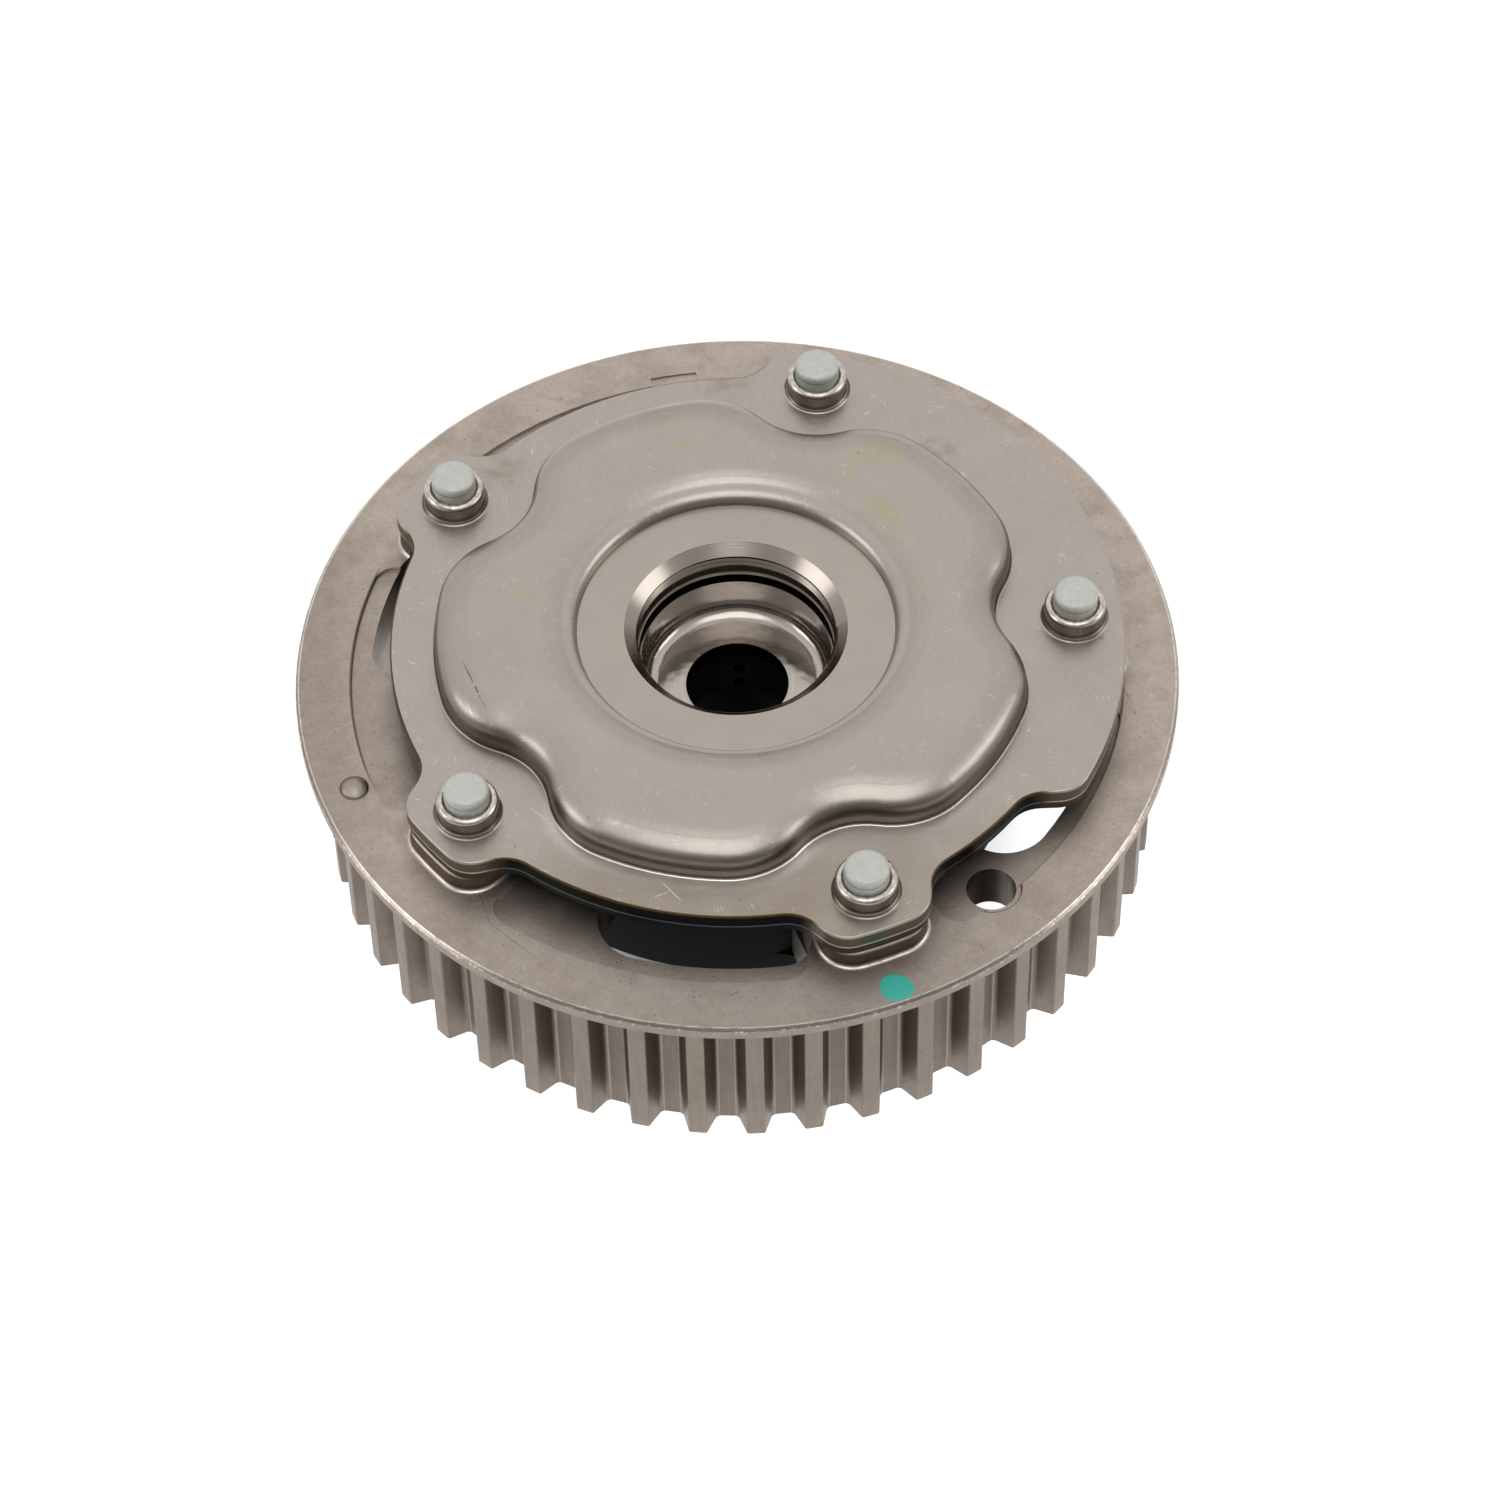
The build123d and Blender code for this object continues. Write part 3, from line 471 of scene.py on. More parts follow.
def shade_tool_hole(skin, settings):
    """Tool hole: painted shade on its walls, a painted shadow line at its shallow rim's edge."""
    from_hole = skin.apart(*TOOL_HOLE)
    # the painted shade on the wall is darkest at the left
    dark = skin.scaled(skin.below(skin.x, TOOL_HOLE[0] + 1.4, 0.5), 0.5, 0.3)
    wall = skin.times(skin.below(from_hole, TOOL_HOLE_RADIUS, 0.04), skin.steep, dark)
    skin.lay(settings.painted_shade, wall)
    hook = skin.times(
        skin.within(from_hole, TOOL_HOLE_RADIUS + 0.52, TOOL_HOLE_RADIUS + 0.76, 0.05),
        skin.above(skin.radius, LEDGE_RADIUS, 0.1),
        skin.above(skin.z, LEDGE_TOP + 0.05, 0.05),
    )
    # painted shadow line at the edge of the rim
    skin.lay(settings.pore_and_shade, skin.times(hook, 0.8))


def shade_pip(skin, settings):
    """Dirt that has gathered round the pip."""
    dirt = skin.within(skin.apart(*PIP_PLACE), PIP_RADIUS - 0.18, PIP_RADIUS + 0.15, 0.08)
    skin.lay(settings.pore_and_shade, skin.times(dirt, skin.above(skin.z, FLANGE_TOP - 0.15, 0.05), 0.75))


def shade_windows(skin, settings):
    """Window walls: painted shade above their shoulder, deepest at the front window's left end."""
    inside = skin.below(skin.radius, WINDOW_RADIUS, 0.1)
    wall = skin.times(inside, skin.within(skin.z, WINDOW_SHOULDER, LEDGE_TOP, 0.1), skin.steep)
    # painted shade on the window walls
    skin.lay(settings.scale, skin.times(wall, 0.3))
    left_end = skin.times(wall, skin.within(skin.angle, -121, -108, 1.0))
    skin.lay(settings.painted_shade, skin.times(left_end, skin.below(skin.z, LEDGE_TOP - 0.15, 0.15), 0.97))


# Pressed steel of the cover


def pressed_steel(settings):
    """Rolled steel sheet, pressed and hardened: satin grey, oil stains, heat tint on its edge."""
    skin = Finish("pressed_steel", settings.steel, 0.36)
    flat = skin.above(skin.up, 0.9825, 0.0125)
    stain_sheet(skin, settings, flat)
    scratch = scratch_sheet(skin, settings, flat)
    collar = shade_and_burnish_collars(skin, settings)
    tint_and_highlight_cut_edge(skin, settings)
    on_dome = skin.above(skin.z, SHEET_TOP, 0.1)
    shade_and_light_dome_foot(skin, settings, on_dome)
    rough = skin.scaled(skin.noise(3.0, 3.0), 0.14, 0.26)
    skin.roughness(skin.less(rough, skin.times(collar, 0.08)))
    texture = skin.less(skin.noise(0.7, 3.0), skin.times(scratch, 0.5))
    skin.relief(skin.scaled(texture, 0.012, skin.times(drawn_height(skin), on_dome)), 1.0)
    return skin


def stain_sheet(skin, settings, flat):
    """Rolling grain, a straw tinted front rim, oil stains, smudges and pits."""
    skin.mottle(0.07, skin.noise(7.0, 3.0))
    skin.mottle(0.06, skin.noise(0.5, 2.0, skin.stretched(1.0, 0.3, 1.0, 8)))
    front = skin.times(skin.below(skin.y, -37, 7), skin.below(skin.z, SHEET_TOP + 0.05, 0.05))
    skin.lay(settings.warm, skin.band(skin.times(front, skin.noise(9.0, 2.0), 1.6), 0.0, 1.0))
    for colour, places, shape, strength in (
        (settings.stain, settings.stain_places(), (skin.noise(5.0, 4.0), 0.46, 0.60), 0.6),
        (settings.smudge, settings.smudge_places(), (skin.noise(2.0, 3.0), 0.35, 0.60), 0.5),
    ):
        spread = skin.most(*[skin.near(*place) for place in places])
        skin.lay(colour, skin.times(spread, skin.band(*shape), flat, strength))
    pits = skin.times(skin.spots(0.2, 4.5), skin.band(skin.noise(7.0, 1.0), 0.5, 0.6))
    skin.lay(settings.speck, skin.times(pits, 0.7))


def scratch_sheet(skin, settings, flat):
    """Light scratches and a reddish brown line. Gives the scratches."""
    marks = []
    for turn in (20, 75, 140):
        lines = skin.noise(1.0, 1.0, skin.stretched(0.5, 9.0, 0.5, turn))
        patch = skin.band(skin.noise(4.0, 1.0, skin.stretched(1, 1, 1, turn + 7)), 0.58, 0.64)
        marks.append(skin.times(skin.band(lines, 0.68, 0.73), patch))
    marks += [skin.stroke(*mark) for mark in settings.scratches()]
    scratch = skin.most(*marks)
    skin.lay(settings.bright, skin.times(scratch, 0.6))
    rust = skin.most(*[skin.stroke(*mark) for mark in settings.rust_lines()])
    rust = skin.times(rust, skin.band(skin.noise(0.8, 2.0), 0.4, 0.5), flat)
    skin.lay(settings.speck, skin.times(rust, 0.8))
    return scratch


def shade_and_burnish_collars(skin, settings):
    """Screw collars: shaded at the side, burnished and nicked on top. Gives the collars."""
    outside = skin.above(skin.radius, DOME_RADIUS + 0.2, 0.1)
    collar = skin.times(skin.above(skin.z, SHEET_TOP + 0.2, 0.1), outside)
    below_crown = skin.below(skin.z, COLLAR_TOP + 0.05, 0.25)
    side = skin.times(collar, below_crown, skin.below(skin.up, 0.35, 0.15))
    # painted shade on the collars' sides
    skin.lay(settings.shadow, skin.times(side, 0.6))
    crown = skin.times(collar, skin.above(skin.z, COLLAR_TOP, 0.2), skin.above(skin.up, 0.45, 0.15))
    skin.lay(settings.bright, skin.times(crown, skin.band(skin.noise(0.8, 3.0), 0.35, 0.6), 0.6))
    return collar


def tint_and_highlight_cut_edge(skin, settings):
    """Cut edge of the sheet: blue black between the lobes, straw beside them, grey on them."""
    outside = skin.above(skin.radius, EAR_INSIDE + 0.25, 0.25)
    rim = skin.times(outside, skin.below(skin.z, SHEET_TOP - 0.035, 0.035))
    edge = skin.times(rim, skin.below(skin.up, 0.5, 0.1))
    upper = skin.above(skin.z, SHEET_TOP - 0.45, 0.05)
    corner = skin.times(rim, skin.below(skin.up, 0.9725, 0.0125), upper)
    # painted highlight along the sheet's lower edge: pale blue between the lobes, bright on them
    lower_edge_highlight = skin.times(rim, skin.below(skin.z, SHEET_BOTTOM, 0.06))
    wobble = skin.scaled(skin.noise(3.0, 2.0), 1.6, -0.8)
    wobbly = skin.result("ShaderNodeMath", {0: skin.radius, 1: wobble}, operation="ADD")
    reach = skin.band(wobbly, EAR_INSIDE + 1.0, EAR_TIP)
    for tones, mask in (
        ((settings.blued, settings.straw, settings.edge), edge),
        ((settings.straw, settings.straw, settings.steel), corner),
        ((settings.pale_blue, settings.edge, settings.bright), lower_edge_highlight),
    ):
        stops = list(zip((0.22, 0.4, 0.62), tones))
        skin.lay(skin.result("ShaderNodeValToRGB", {0: reach}, stops), mask)


def shade_and_light_dome_foot(skin, settings, on_dome):
    """Painted shade where the dome rises, and painted light on the sheet in front of it."""
    inset = skin.dome_inset
    wall_shade = skin.times(skin.below(inset, 0.6, 0.5), skin.above(inset, -0.45, 0.05), on_dome)
    # painted shade where the dome's wall meets the sheet
    skin.lay(settings.shadow, skin.times(wall_shade, 0.75))
    fade = skin.band(inset, -3.0, -0.3)
    sheet = skin.times(skin.below(inset, 0.05, 0.05), skin.below(skin.z, SHEET_TOP + 0.05, 0.05))
    painted_light = skin.times(fade, fade, sheet, skin.below(skin.y, -31.5, 5.5))
    # painted light on the sheet in front of the dome
    skin.lay(settings.painted_light, skin.times(painted_light, 0.85))


def drawn_height(skin):
    """Relief in millimetres: the press has drawn the dome's shoulder in softly."""
    # shoulder, brim above the ring, and the brim's inner edge, which falls less steeply
    rises = [
        skin.result(
            "ShaderNodeMapRange",
            {"Value": value, "From Min": low, "From Max": high, "To Max": height},
            interpolation_type="SMOOTHSTEP",
        )
        for value, low, high, height in (
            (skin.dome_inset, 1.4, 5.6, 0.85),
            (skin.radius, RING_RADIUS + 1.4, RING_RADIUS + 5.4, 0.9),
            (skin.radius, RING_RADIUS, RING_RADIUS + 2.2, -0.7),
        )
    ]
    inner = skin.result("ShaderNodeMath", {0: rises[1], 1: rises[2]}, operation="ADD")
    return skin.result("ShaderNodeMath", {0: rises[0], 1: inner}, operation="ADD")


# Other finishes


def ground_plate(settings):
    """Hardened flat plate: its rim is blue grey from the heat, brown on the lobes."""
    skin = Finish("hardened_plate", settings.shadow, 0.4)
    wobble = skin.noise(2.0, 2.0)
    wobbly = skin.result("ShaderNodeMath", {0: skin.radius, 1: wobble}, operation="ADD")
    reach = skin.band(wobbly, EAR_INSIDE + 0.5, EAR_TIP)
    tones = (settings.blue_grey, settings.shadow, settings.shadow)
    skin.paint(skin.result("ShaderNodeValToRGB", {0: reach}, list(zip((0.35, 0.6, 1.0), tones))))
    skin.mottle(0.15, skin.noise(0.6, 2.0))
    return skin


def turned_steel(settings):
    """Fine turned steel ring: rings of the tool with a soft gloss, smooth on its chamfer."""
    skin = Finish("turned_steel", settings.steel, 0.3)
    skin.mottle(0.06, skin.rings(0.25))
    skin.mottle(0.05, skin.noise(4.0, 2.0))
    skin.shader.inputs["Anisotropic"].default_value = 0.5
    tangent = skin.result("ShaderNodeTangent", {}, direction_type="RADIAL", axis="Z")
    skin.tree.links.new(tangent, skin.shader.inputs["Tangent"])
    bore = skin.times(skin.below(skin.up, 0.9, 0.05), skin.below(skin.radius, RING_CHAMFER, 0.1))
    skin.roughness(skin.scaled(bore, -0.12, 0.30))
    skin.relief(skin.rings(0.18), 0.003)
    return skin


def black_oxide_steel(settings):
    """Steam treated steel: an even black skin with a dull gloss."""
    skin = Finish("black_oxide_steel", settings.black, 0.6, 0.0)
    skin.shader.inputs["Specular IOR Level"].default_value = 0.1
    skin.mottle(0.2, skin.noise(1.5, 3.0))
    skin.relief(skin.noise(0.4, 2.0), 0.01)
    return skin


def polished_steel(settings):
    """Hardened steel, turned and polished: a bright bowl with faint tool rings."""
    skin = Finish("polished_steel", settings.polished, 0.16)
    skin.mottle(0.10, skin.rings(0.5))
    # painted shade: the bolt's bore below the bowl is painted nearly black
    inside = skin.below(skin.radius, BORE_RADIUS, 0.15)
    bore = skin.times(inside, skin.within(skin.z, BORE_BOTTOM, BORE_TOP, 0.15))
    skin.lay(settings.black, skin.times(bore, 0.92))
    skin.roughness(skin.scaled(skin.noise(2.0, 2.0), 0.1, 0.1))
    skin.relief(skin.noise(4.5, 2.0), 0.11)
    return skin


def bright_steel(settings):
    """Ground and hardened steel of the small inner parts."""
    skin = Finish("ground_steel", settings.steel, 0.28)
    skin.mottle(0.06, skin.noise(0.8, 2.0, skin.stretched(1, 1, 0.1)))
    return skin


def spring_steel(settings):
    """Tempered spring strip and wire: brown grey with drawing marks."""
    skin = Finish("spring_steel", settings.steel, 0.35)
    skin.mottle(0.12, skin.noise(0.6, 3.0))
    return skin


def seal_rubber(settings):
    """Moulded oil proof rubber: black and dull."""
    skin = Finish("seal_rubber", settings.rubber, 0.7, 0.0)
    skin.mottle(0.15, skin.noise(0.5, 2.0))
    return skin


def zinc_flake(settings):
    """Zinc flake coat on a screw: matt pale grey green with fine speckles."""
    skin = Finish("zinc_flake_coat", settings.coat, 0.55, 0.55)
    skin.mottle(0.12, skin.noise(1.2, 3.0))
    skin.mottle(0.08, skin.noise(0.35, 2.0))
    skin.lay(settings.flake, skin.times(skin.spots(0.12, 0.45), 0.5))
    # painted shade: a thin dark line where the thread's last turn leaves a groove below the tip
    turn = skin.within(skin.z, SCREW_GROOVE - 0.08, SCREW_GROOVE + 0.08, 0.05)
    skin.lay(settings.groove, skin.times(turn, skin.below(skin.up, 0.5, 0.1), 0.7))
    skin.relief(skin.noise(0.3, 2.0), 0.015)
    return skin


def marking_paint(settings):
    """Marking paint, dabbed on by hand: an opaque film with brush streaks."""
    skin = Finish("marking_paint", settings.colour, 0.45, 0.0)
    skin.mottle(0.08, skin.noise(0.8, 2.0, skin.stretched(1, 0.3, 1, 30)))
    skin.relief(skin.noise(0.5, 2.0), 0.01)
    return skin


def studio_floor(settings):
    """Matt white light table: lit from below as well, so that the shadow stays faint."""
    skin = Finish("light_table", settings.floor, 0.9, 0.0)
    skin.shader.inputs["Base Color"].default_value = settings.floor
    skin.shader.inputs["Specular IOR Level"].default_value = 0.0
    skin.shader.inputs["Emission Color"].default_value = (1, 1, 1, 1)
    # no light comes from under the part's core
    outside = skin.above(skin.radius, 33, 3)
    window = skin.within(skin.radius, 38, 60, 3)
    glow = skin.times(outside, skin.scaled(window, settings.window_light, settings.table))
    skin.tree.links.new(glow, skin.shader.inputs["Emission Strength"])
    return skin


# Settings that a user would change


def colour_setting(name, text, code):
    """A colour shown with a picker, from its sRGB hex code."""
    return bpy.props.FloatVectorProperty(
        name=name, description=text, default=linear(code), size=4, subtype="COLOR", min=0, max=1
    )


class SPROCKET_PG_wheel(bpy.types.PropertyGroup):
    """Colours of the toothed wheel"""

    steel: colour_setting("Steel", "Ground sintered steel", "#958b82")
    pale: colour_setting("Pale", "Steel of the flange, away from the paint mark", "#a89c92")
    brown: colour_setting("Brown", "Oil darkened patches", "#877b71")
    # painted shade on the tooth flanks and roots, the tool hole's wall and the front window's left
    # end
    painted_shade: colour_setting("Painted shade", "Tooth flanks and shaded walls", "#332a25")
    # painted shade on the pillars' sides, the ledge and the window walls
    scale: colour_setting("Scale", "Heat tinted pillar sides", "#4a4037")
    # the pores' colour, also for dirt and cracks, and the painted shadow lines on the ledge's step
    # and the tool hole's rim
    pore_and_shade: colour_setting("Pore", "Pores of the powder metal", "#4a4038")
    # dents on the flange's side; also the painted highlight on the root fillets, the chamfer and
    # the pillars' foot
    wear_and_highlight: colour_setting("Worn", "Bright worn corners", "#d2cabf")

    def cracks(self):
        """Fine dark marks on the flange: their ends and their width in millimetres."""
        return [
            ((-36.6, -36.0), (-35.4, -41.0), 0.09),
            ((-35.4, -41.0), (-30.0, -46.5), 0.07),
            ((52.0, -6.5), (53.3, -10.0), 0.10),
        ]


class SPROCKET_PG_cover(bpy.types.PropertyGroup):
    """Colours of the cover and of the seal plate below it"""

    steel: colour_setting("Steel", "Rolled sheet", "#a19992")
    stain: colour_setting("Stain", "Dried oil stains", "#9f9776")
    smudge: colour_setting("Smudge", "Brown smudges", "#7c6f60")
    speck: colour_setting("Speck", "Small dark pits", "#5a5048")
    # scratches and burnished collar tops; also the painted highlight on the sheet's lower edge at
    # the lobes
    bright: colour_setting("Scratch", "Fresh scratches and burnished metal", "#dcd6cc")
    # painted light on the sheet in front of the dome's foot
    painted_light: colour_setting("Painted light", "Sheet rubbed bright below the dome", "#f6f2ea")
    warm: colour_setting("Warm", "Straw coloured front rim", "#8e8477")
    # painted shade on the collars' sides and at the dome's foot; also the seal plate's dark brown
    shadow: colour_setting("Dark side", "Sides that the heat has browned", "#51483f")
    blued: colour_setting("Blued edge", "Cut edge between the lobes", "#12161b")
    # painted highlight on the sheet's lower edge between the lobes
    pale_blue: colour_setting("Pale blue", "Burr between the lobes", "#75858c")
    blue_grey: colour_setting("Blue grey", "Seal plate's rim", "#2c3336")
    straw: colour_setting("Straw edge", "Cut edge beside the lobes", "#54432c")
    edge: colour_setting("Bare edge", "Cut edge on the lobes", "#6f665c")

    def stain_places(self):
        """Places of the stains on the dome, as x, y and size in millimetres."""
        return [
            (-6.7, 32.6, 6),
            (21, 26, 8),
            (22.4, 17, 6),
            (26, 5.4, 5),
            (-12.7, 19, 5),
            (-25, -23, 4),
            (-28, 5, 3),
        ]

    def smudge_places(self):
        """Places of the brown smudges on the rim, as x, y and size in millimetres."""
        return [(1, 48, 6), (-31, 32.4, 5), (30, 31, 4)]

    def scratches(self):
        """The longest scratches on the rim: their ends and their width in millimetres."""
        return [
            ((-12.6, -40.6), (-10.2, -43.8), 0.12),
            ((-13.5, -43.1), (-11.5, -42.4), 0.10),
            ((-29.0, -27.5), (-27.0, -29.5), 0.08),
        ]

    def rust_lines(self):
        """Reddish brown marks on the dome: their ends and their width in millimetres."""
        return [((-37.0, -6.0), (-34.6, -13.0), 0.16)]


class SPROCKET_PG_ring(bpy.types.PropertyGroup):
    """Colour of the centre ring and its thread"""

    steel: colour_setting("Steel", "Turned steel", "#a0988f")


class SPROCKET_PG_core(bpy.types.PropertyGroup):
    """Colours of the inner parts"""

    steel: colour_setting("Steel", "Ground inner parts", "#a9a198")
    polished: colour_setting("Polished", "Polished bowl of the rotor", "#a8a19a")
    # the stator's black; also painted shade in the rotor's bore
    black: colour_setting("Black", "Steam treated stator", "#050505")
    rubber: colour_setting("Rubber", "Seal rings", "#121212")


class SPROCKET_PG_screws(bpy.types.PropertyGroup):
    """Colours of the clamp screws"""

    coat: colour_setting("Coat", "Zinc flake coat", "#b3b3ad")
    flake: colour_setting("Flake", "Darker flakes in the coat", "#8d938e")
    groove: colour_setting("Groove", "Shade in the thread", "#5d605c")


class SPROCKET_PG_thread(bpy.types.PropertyGroup):
    """Sizes of the cap thread"""

    radius: bpy.props.FloatProperty(
        name="Radius", description="Of the ring's bore", default=13.7 * MM, unit="LENGTH"
    )
    crest: bpy.props.FloatProperty(
        name="Crest", description="Height of the ridge", default=0.25 * MM, unit="LENGTH"
    )
    pitch: bpy.props.FloatProperty(
        name="Pitch", description="From turn to turn", default=0.75 * MM, unit="LENGTH"
    )
    bottom: bpy.props.FloatProperty(
        name="Bottom", description="Lower end of the thread", default=34.25 * MM, unit="LENGTH"
    )
    turns: bpy.props.IntProperty(name="Turns", description="Whole turns of the ridge", default=2)
    steps: bpy.props.IntProperty(name="Steps", description="Faces along one turn", default=96)


class SPROCKET_PG_paint(bpy.types.PropertyGroup):
    """Colour, place and sizes of the dab of paint"""

    colour: colour_setting("Paint", "Marking paint", "#26988a")
    distance: bpy.props.FloatProperty(
        name="Distance", description="From the axis", default=58.0 * MM, unit="LENGTH"
    )
    angle: bpy.props.FloatProperty(
        name="Angle", description="About the axis", default=math.radians(-72.5), subtype="ANGLE"
    )
    radius: bpy.props.FloatProperty(
        name="Radius", description="Of the dab, across", default=2.0 * MM, unit="LENGTH"
    )
    stretch: bpy.props.FloatProperty(
        name="Stretch", description="Length of the dab over its width", default=1.22
    )
    film: bpy.props.FloatProperty(
        name="Film", description="Thickness of the paint", default=0.06 * MM, unit="LENGTH"
    )


class SPROCKET_PG_stage(bpy.types.PropertyGroup):
    """Floor, lights and lens"""

    floor: colour_setting("Floor", "Light table", "#a0a09f")
    table: bpy.props.FloatProperty(
        name="Table light", description="Light that the table gives by itself", default=0.72
    )
    window_light: bpy.props.FloatProperty(
        name="Window light", description="More light below the wheel's windows", default=0.3
    )
    room: bpy.props.FloatProperty(
        name="Room light", description="Mean light all round", default=0.47
    )
    slope: bpy.props.FloatProperty(
        name="Room slope", description="How much brighter the back of the room is", default=0.73
    )
    ceiling: bpy.props.FloatProperty(
        name="Ceiling box", description="Light of the soft box overhead", default=1.5
    )
    sides: bpy.props.FloatProperty(
        name="Side boxes", description="Light of the soft box on each side", default=2.2
    )
    focal: bpy.props.FloatProperty(
        name="Focal length", description="Camera lens in millimetres", default=124.82
    )


# Pieces


class SPROCKET_OT_dress_wheel(bpy.types.Operator):
    """Give the toothed wheel its sintered steel finish"""

    bl_idname = "sprocket.dress_wheel"
    bl_label = "Dress Wheel"

    def execute(self, context):
        clothe(["drive_pulley"], sintered_steel(context.scene.sprocket_wheel))
        return {"FINISHED"}


class SPROCKET_OT_dress_cover(bpy.types.Operator):
    """Give the cover and the seal plate their pressed and hardened finish"""

    bl_idname = "sprocket.dress_cover"
    bl_label = "Dress Cover"

    def execute(self, context):
        clothe(["dome_cover"], pressed_steel(context.scene.sprocket_cover))
        clothe(["front_seal_plate"], ground_plate(context.scene.sprocket_cover))
        return {"FINISHED"}


class SPROCKET_OT_dress_ring(bpy.types.Operator):
    """Give the centre ring its turned finish"""

    bl_idname = "sprocket.dress_ring"
    bl_label = "Dress Centre Ring"

    def execute(self, context):
        clothe(["centre_ring"], turned_steel(context.scene.sprocket_ring))
        return {"FINISHED"}


class SPROCKET_OT_dress_core(bpy.types.Operator):
    """Give the stator, the rotor and the small inner parts their finishes"""

    bl_idname = "sprocket.dress_core"
    bl_label = "Dress Inner Parts"

    def execute(self, context):
        settings = context.scene.sprocket_core
        clothe(["stator_ring", "rear_cover"], black_oxide_steel(settings))
        clothe(["rotor"], polished_steel(settings))
        springs = [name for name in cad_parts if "_spring" in name]
        vanes = [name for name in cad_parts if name.startswith("vane_")]
        ground = [name for name in vanes if name not in springs]
        ground += ["locking_bush", "spring_anchor_pin", "lock_pin"]
        clothe(ground, bright_steel(settings))
        clothe(springs, spring_steel(settings))
        clothe(["front_seal_ring", "rear_seal_ring"], seal_rubber(settings))
        return {"FINISHED"}


class SPROCKET_OT_dress_screws(bpy.types.Operator):
    """Give the clamp screws their zinc flake coat"""

    bl_idname = "sprocket.dress_screws"
    bl_label = "Dress Screws"

    def execute(self, context):
        names = [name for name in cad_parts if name.startswith("clamp_screw")]
        clothe(names, zinc_flake(context.scene.sprocket_screws))
        return {"FINISHED"}


class SPROCKET_OT_paint_dab(bpy.types.Operator):
    """Add the dab of marking paint on the flange"""

    bl_idname = "sprocket.paint_dab"
    bl_label = "Add Paint Dab"

    def execute(self, context):
        settings = context.scene.sprocket_paint
        bpy.ops.object.select_all(action="DESELECT")
        x = settings.distance * math.cos(settings.angle)
        y = settings.distance * math.sin(settings.angle)
        centre = Vector((x, y, FLANGE_TOP * MM))
        bpy.ops.mesh.primitive_circle_add(
            vertices=48, radius=settings.radius, fill_type="NGON", location=centre
        )
        dab = context.object
        dab.name = "paint_dab"
        bpy.ops.object.mode_set(mode="EDIT")
        bpy.ops.mesh.extrude_region_move(TRANSFORM_OT_translate={"value": (0, 0, settings.film)})
        bpy.ops.transform.resize(value=(0.9, 0.9, 1))
        bpy.ops.object.mode_set(mode="OBJECT")
        dab.scale = (settings.stretch, 1, 1)
        dab.rotation_euler = (0, 0, settings.angle + math.radians(25))
        bpy.ops.object.transform_apply(location=True, rotation=True, scale=True)
        # two waves make the dab's edge uneven, as a brush does
        for vertex in dab.data.vertices:
            away = vertex.co - centre
            turn = math.atan2(away.y, away.x)
            wave = 1 + 0.07 * math.sin(2 * turn + 0.6) + 0.04 * math.sin(3 * turn + 2)
            vertex.co.x = x + away.x * wave
            vertex.co.y = y + away.y * wave
        dab.data.materials.append(marking_paint(settings).material)
        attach(dab, "wheel")
        return {"FINISHED"}


class SPROCKET_OT_cut_thread(bpy.types.Operator):
    """Add the turns of the cap thread in the centre ring's bore"""

    bl_idname = "sprocket.cut_thread"
    bl_label = "Add Cap Thread"

    def execute(self, context):
        settings = context.scene.sprocket_thread
        bpy.ops.object.select_all(action="DESELECT")
        # the ridge starts a little inside the ring's wall and its turns don't quite touch
        root = settings.radius + 0.02 * MM
        bpy.ops.mesh.primitive_circle_add(
            vertices=3, radius=0.5 * settings.pitch, location=(0, 0, 0)
        )
        thread = context.object
        thread.name = "cap_thread"
        half = 0.48 * settings.pitch
        crest = settings.radius - settings.crest
        corners = ((root, -half), (crest, 0), (root, half))
        for vertex, (reach, rise) in zip(thread.data.vertices, corners):
            vertex.co = (reach, 0, settings.bottom + rise)
        screw = thread.modifiers.new("turns", "SCREW")
        screw.axis = "Z"
        screw.screw_offset = settings.pitch
        screw.iterations = settings.turns
        screw.steps = settings.steps
        screw.render_steps = settings.steps
        screw.use_merge_vertices = False
        bpy.ops.object.modifier_apply(modifier=screw.name)
        bpy.ops.object.mode_set(mode="EDIT")
        bpy.ops.mesh.select_all(action="SELECT")
        bpy.ops.mesh.remove_doubles(threshold=0.0001 * MM)
        bpy.ops.mesh.fill_holes(sides=3)
        bpy.ops.mesh.normals_make_consistent(inside=False)
        bpy.ops.object.mode_set(mode="OBJECT")
        bpy.ops.object.shade_smooth_by_angle(angle=math.radians(35))
        thread.data.materials.append(turned_steel(context.scene.sprocket_ring).material)
        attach(thread, "wheel")
        return {"FINISHED"}


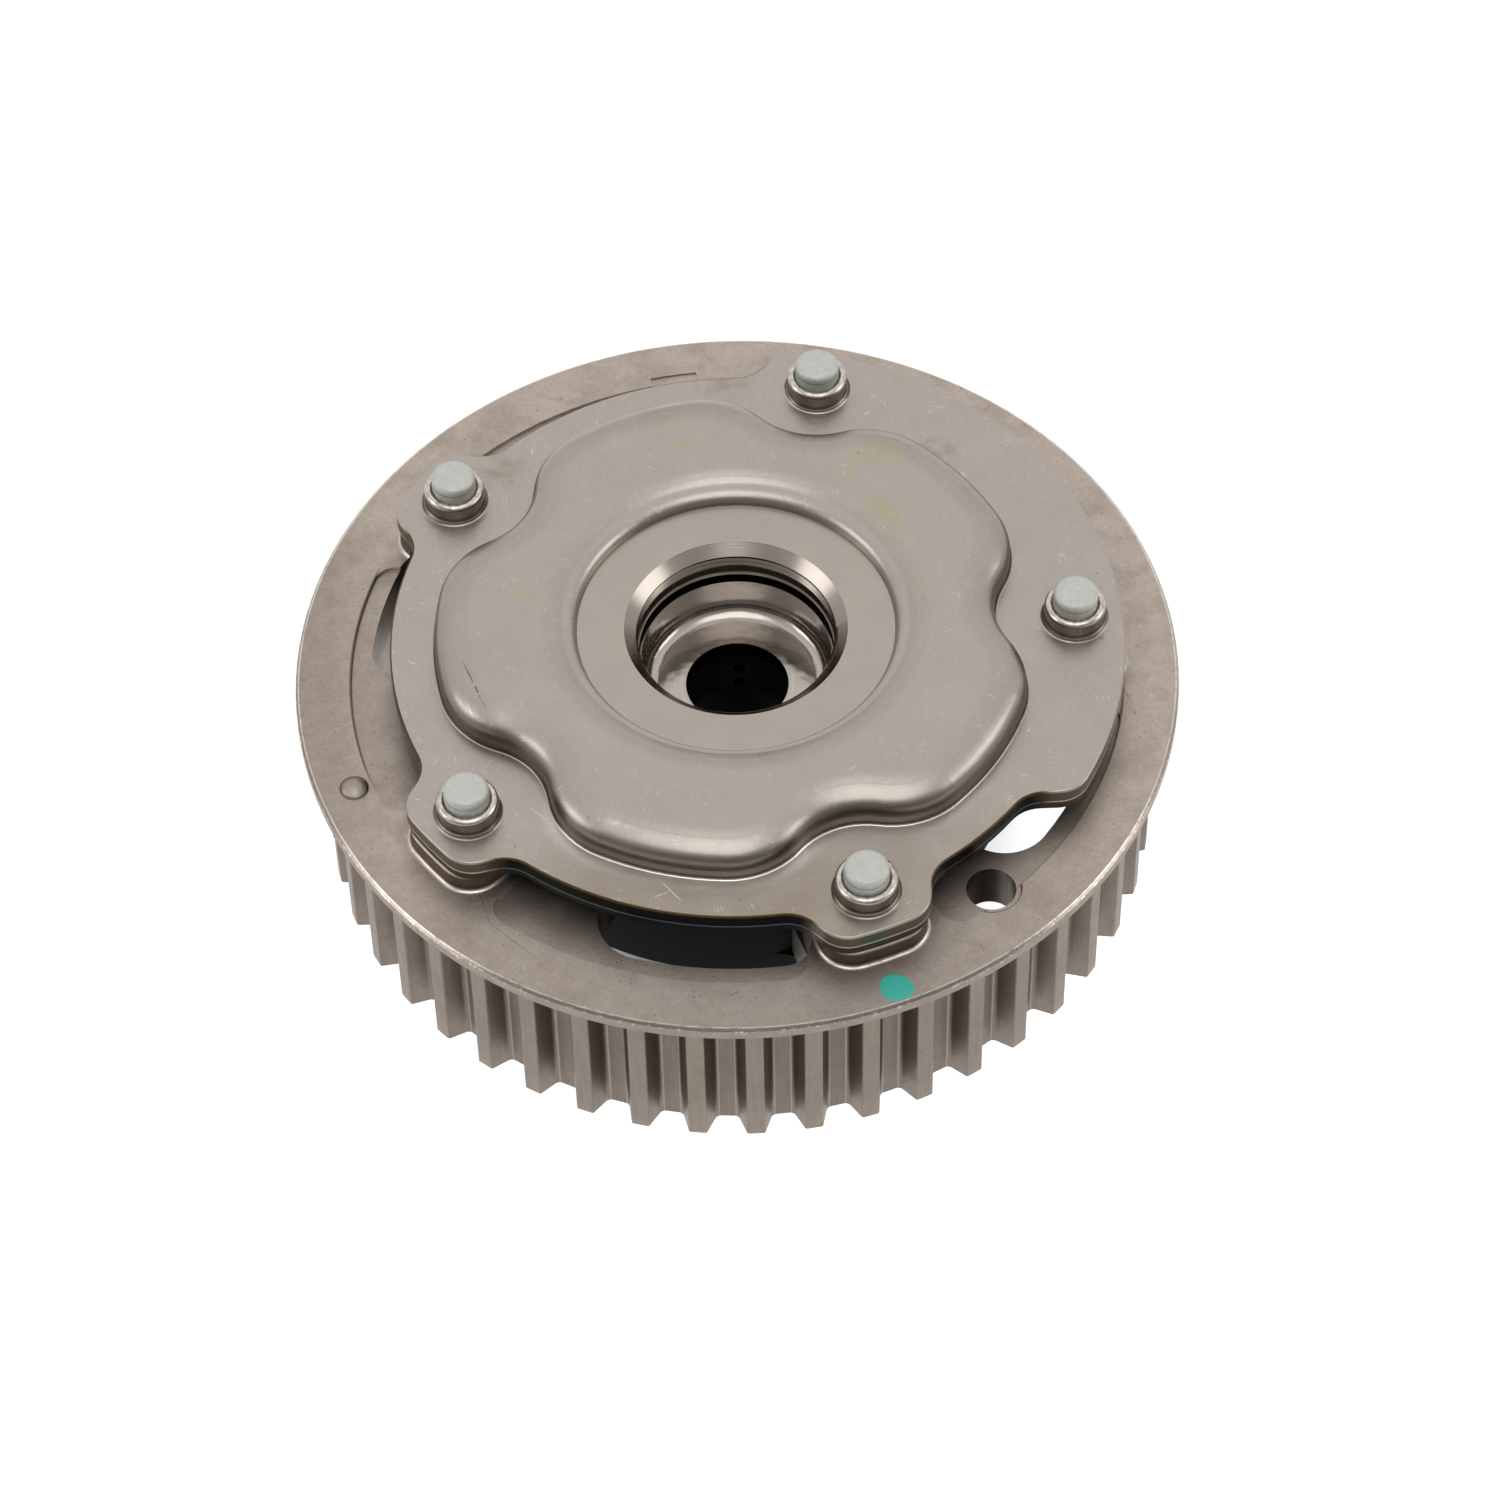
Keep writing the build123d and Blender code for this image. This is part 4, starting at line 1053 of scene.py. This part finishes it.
class SPROCKET_OT_set_stage(bpy.types.Operator):
    """Set the floor, the lights and the camera"""

    bl_idname = "sprocket.set_stage"
    bl_label = "Set Stage"

    def execute(self, context):
        settings = context.scene.sprocket_stage
        context.scene.view_settings.view_transform = "Standard"
        bpy.ops.object.select_all(action="DESELECT")
        bpy.ops.mesh.primitive_plane_add(size=6.0, location=(0, 0, 0))
        floor = context.object
        floor.name = "studio_floor"
        floor.data.materials.append(studio_floor(settings).material)
        self.light_room(context, settings)
        self.place_camera(context, settings)
        return {"FINISHED"}

    def light_room(self, context, settings):
        """White room, brighter at the back and top, with soft boxes above and at both sides."""
        world = bpy.data.worlds.new("studio_room")
        world.use_nodes = True
        context.scene.world = world
        tree = world.node_tree
        ray = put(tree, "ShaderNodeTexCoord").outputs["Object"]
        back_and_top = self.facing(tree, ray, (0, 0.6, 0.8))
        slope = {0: back_and_top, 1: settings.slope, 2: settings.room}
        room = put(tree, "ShaderNodeMath", slope, operation="MULTIPLY_ADD")
        darkest = 0.2
        light = put(tree, "ShaderNodeMath", {0: room.outputs[0], 1: darkest}, operation="MAXIMUM")
        # each soft box: the way to it, its half width and its border in degrees, and its light
        for way, size, blur, power in (
            ((0, -0.375, 0.927), 23, 6, settings.ceiling),
            ((-0.9, -0.08, 0.42), 15, 6, settings.sides),
            ((0.9, -0.08, 0.42), 15, 6, settings.sides),
        ):
            box = put(
                tree,
                "ShaderNodeMapRange",
                {
                    "Value": self.facing(tree, ray, way),
                    "From Min": math.cos(math.radians(size + blur)),
                    "From Max": math.cos(math.radians(size - blur)),
                    "To Max": power,
                },
                interpolation_type="SMOOTHSTEP",
            )
            light = put(tree, "ShaderNodeMath", {0: light.outputs[0], 1: box.outputs["Result"]})
        background = tree.nodes["Background"]
        background.inputs["Color"].default_value = (1, 1, 1, 1)
        tree.links.new(light.outputs[0], background.inputs["Strength"])

    def facing(self, tree, ray, way):
        """Cosine of the angle between a ray and a way."""
        node = put(
            tree,
            "ShaderNodeVectorMath",
            {0: ray, 1: Vector(way).normalized()},
            operation="DOT_PRODUCT",
        )
        return node.outputs["Value"]

    def place_camera(self, context, settings):
        """Camera at the viewing angle of the photo, from a fit of the flange, screws and teeth."""
        lift = math.radians(52.317)
        roll = math.radians(-1.268)
        turn = Matrix.Rotation(math.radians(-2.766), 3, "Z")
        back = Vector((0, -math.cos(lift), math.sin(lift)))
        right = Vector((1, 0, 0))
        up = back.cross(right)
        tilted_right = math.cos(roll) * right + math.sin(roll) * up
        tilted_up = math.cos(roll) * up - math.sin(roll) * right
        place = Vector((1.545, -446.29, 559.00)) * MM
        bpy.ops.object.camera_add()
        camera = context.object
        axes = Matrix((turn @ tilted_right, turn @ tilted_up, turn @ back)).transposed()
        place = turn @ place + Vector((0, 0, FLANGE_TOP * MM))
        camera.matrix_world = Matrix.Translation(place) @ axes.to_4x4()
        camera.data.sensor_fit = "HORIZONTAL"
        camera.data.sensor_width = 36.0
        camera.data.lens = settings.focal
        camera.data.clip_start = 0.01
        camera.data.clip_end = 20.0
        context.scene.camera = camera


class SPROCKET_PT_panel(bpy.types.Panel):
    """Pieces and stage of the camshaft sprocket"""

    bl_idname = "SPROCKET_PT_panel"
    bl_label = "Camshaft Sprocket"
    bl_space_type = "VIEW_3D"
    bl_region_type = "UI"
    bl_category = "Sprocket"

    def draw(self, context):
        for operator in OPERATORS:
            self.layout.operator(operator.bl_idname)
        for name in SETTINGS:
            group = getattr(context.scene, name)
            box = self.layout.box()
            for key in group.bl_rna.properties.keys():
                if key not in ("name", "rna_type"):
                    box.prop(group, key)


SETTINGS = {
    "sprocket_wheel": SPROCKET_PG_wheel,
    "sprocket_cover": SPROCKET_PG_cover,
    "sprocket_ring": SPROCKET_PG_ring,
    "sprocket_core": SPROCKET_PG_core,
    "sprocket_screws": SPROCKET_PG_screws,
    "sprocket_thread": SPROCKET_PG_thread,
    "sprocket_paint": SPROCKET_PG_paint,
    "sprocket_stage": SPROCKET_PG_stage,
}
OPERATORS = [
    SPROCKET_OT_set_stage,
    SPROCKET_OT_dress_wheel,
    SPROCKET_OT_dress_cover,
    SPROCKET_OT_dress_ring,
    SPROCKET_OT_dress_core,
    SPROCKET_OT_dress_screws,
    SPROCKET_OT_cut_thread,
    SPROCKET_OT_paint_dab,
]


def register():
    """Register the settings, the operators and the panel."""
    for name, group in SETTINGS.items():
        bpy.utils.register_class(group)
        setattr(bpy.types.Scene, name, bpy.props.PointerProperty(type=group))
    for kind in OPERATORS + [SPROCKET_PT_panel]:
        bpy.utils.register_class(kind)


def unregister():
    """Take the panel, the operators and the settings off again."""
    for kind in [SPROCKET_PT_panel] + OPERATORS[::-1]:
        bpy.utils.unregister_class(kind)
    for name, group in SETTINGS.items():
        delattr(bpy.types.Scene, name)
        bpy.utils.unregister_class(group)


def main():
    """Make every piece and the stage."""
    register()
    for operator in OPERATORS:
        group, name = operator.bl_idname.split(".")
        getattr(getattr(bpy.ops, group), name)()


if __name__ == "__main__":
    main()
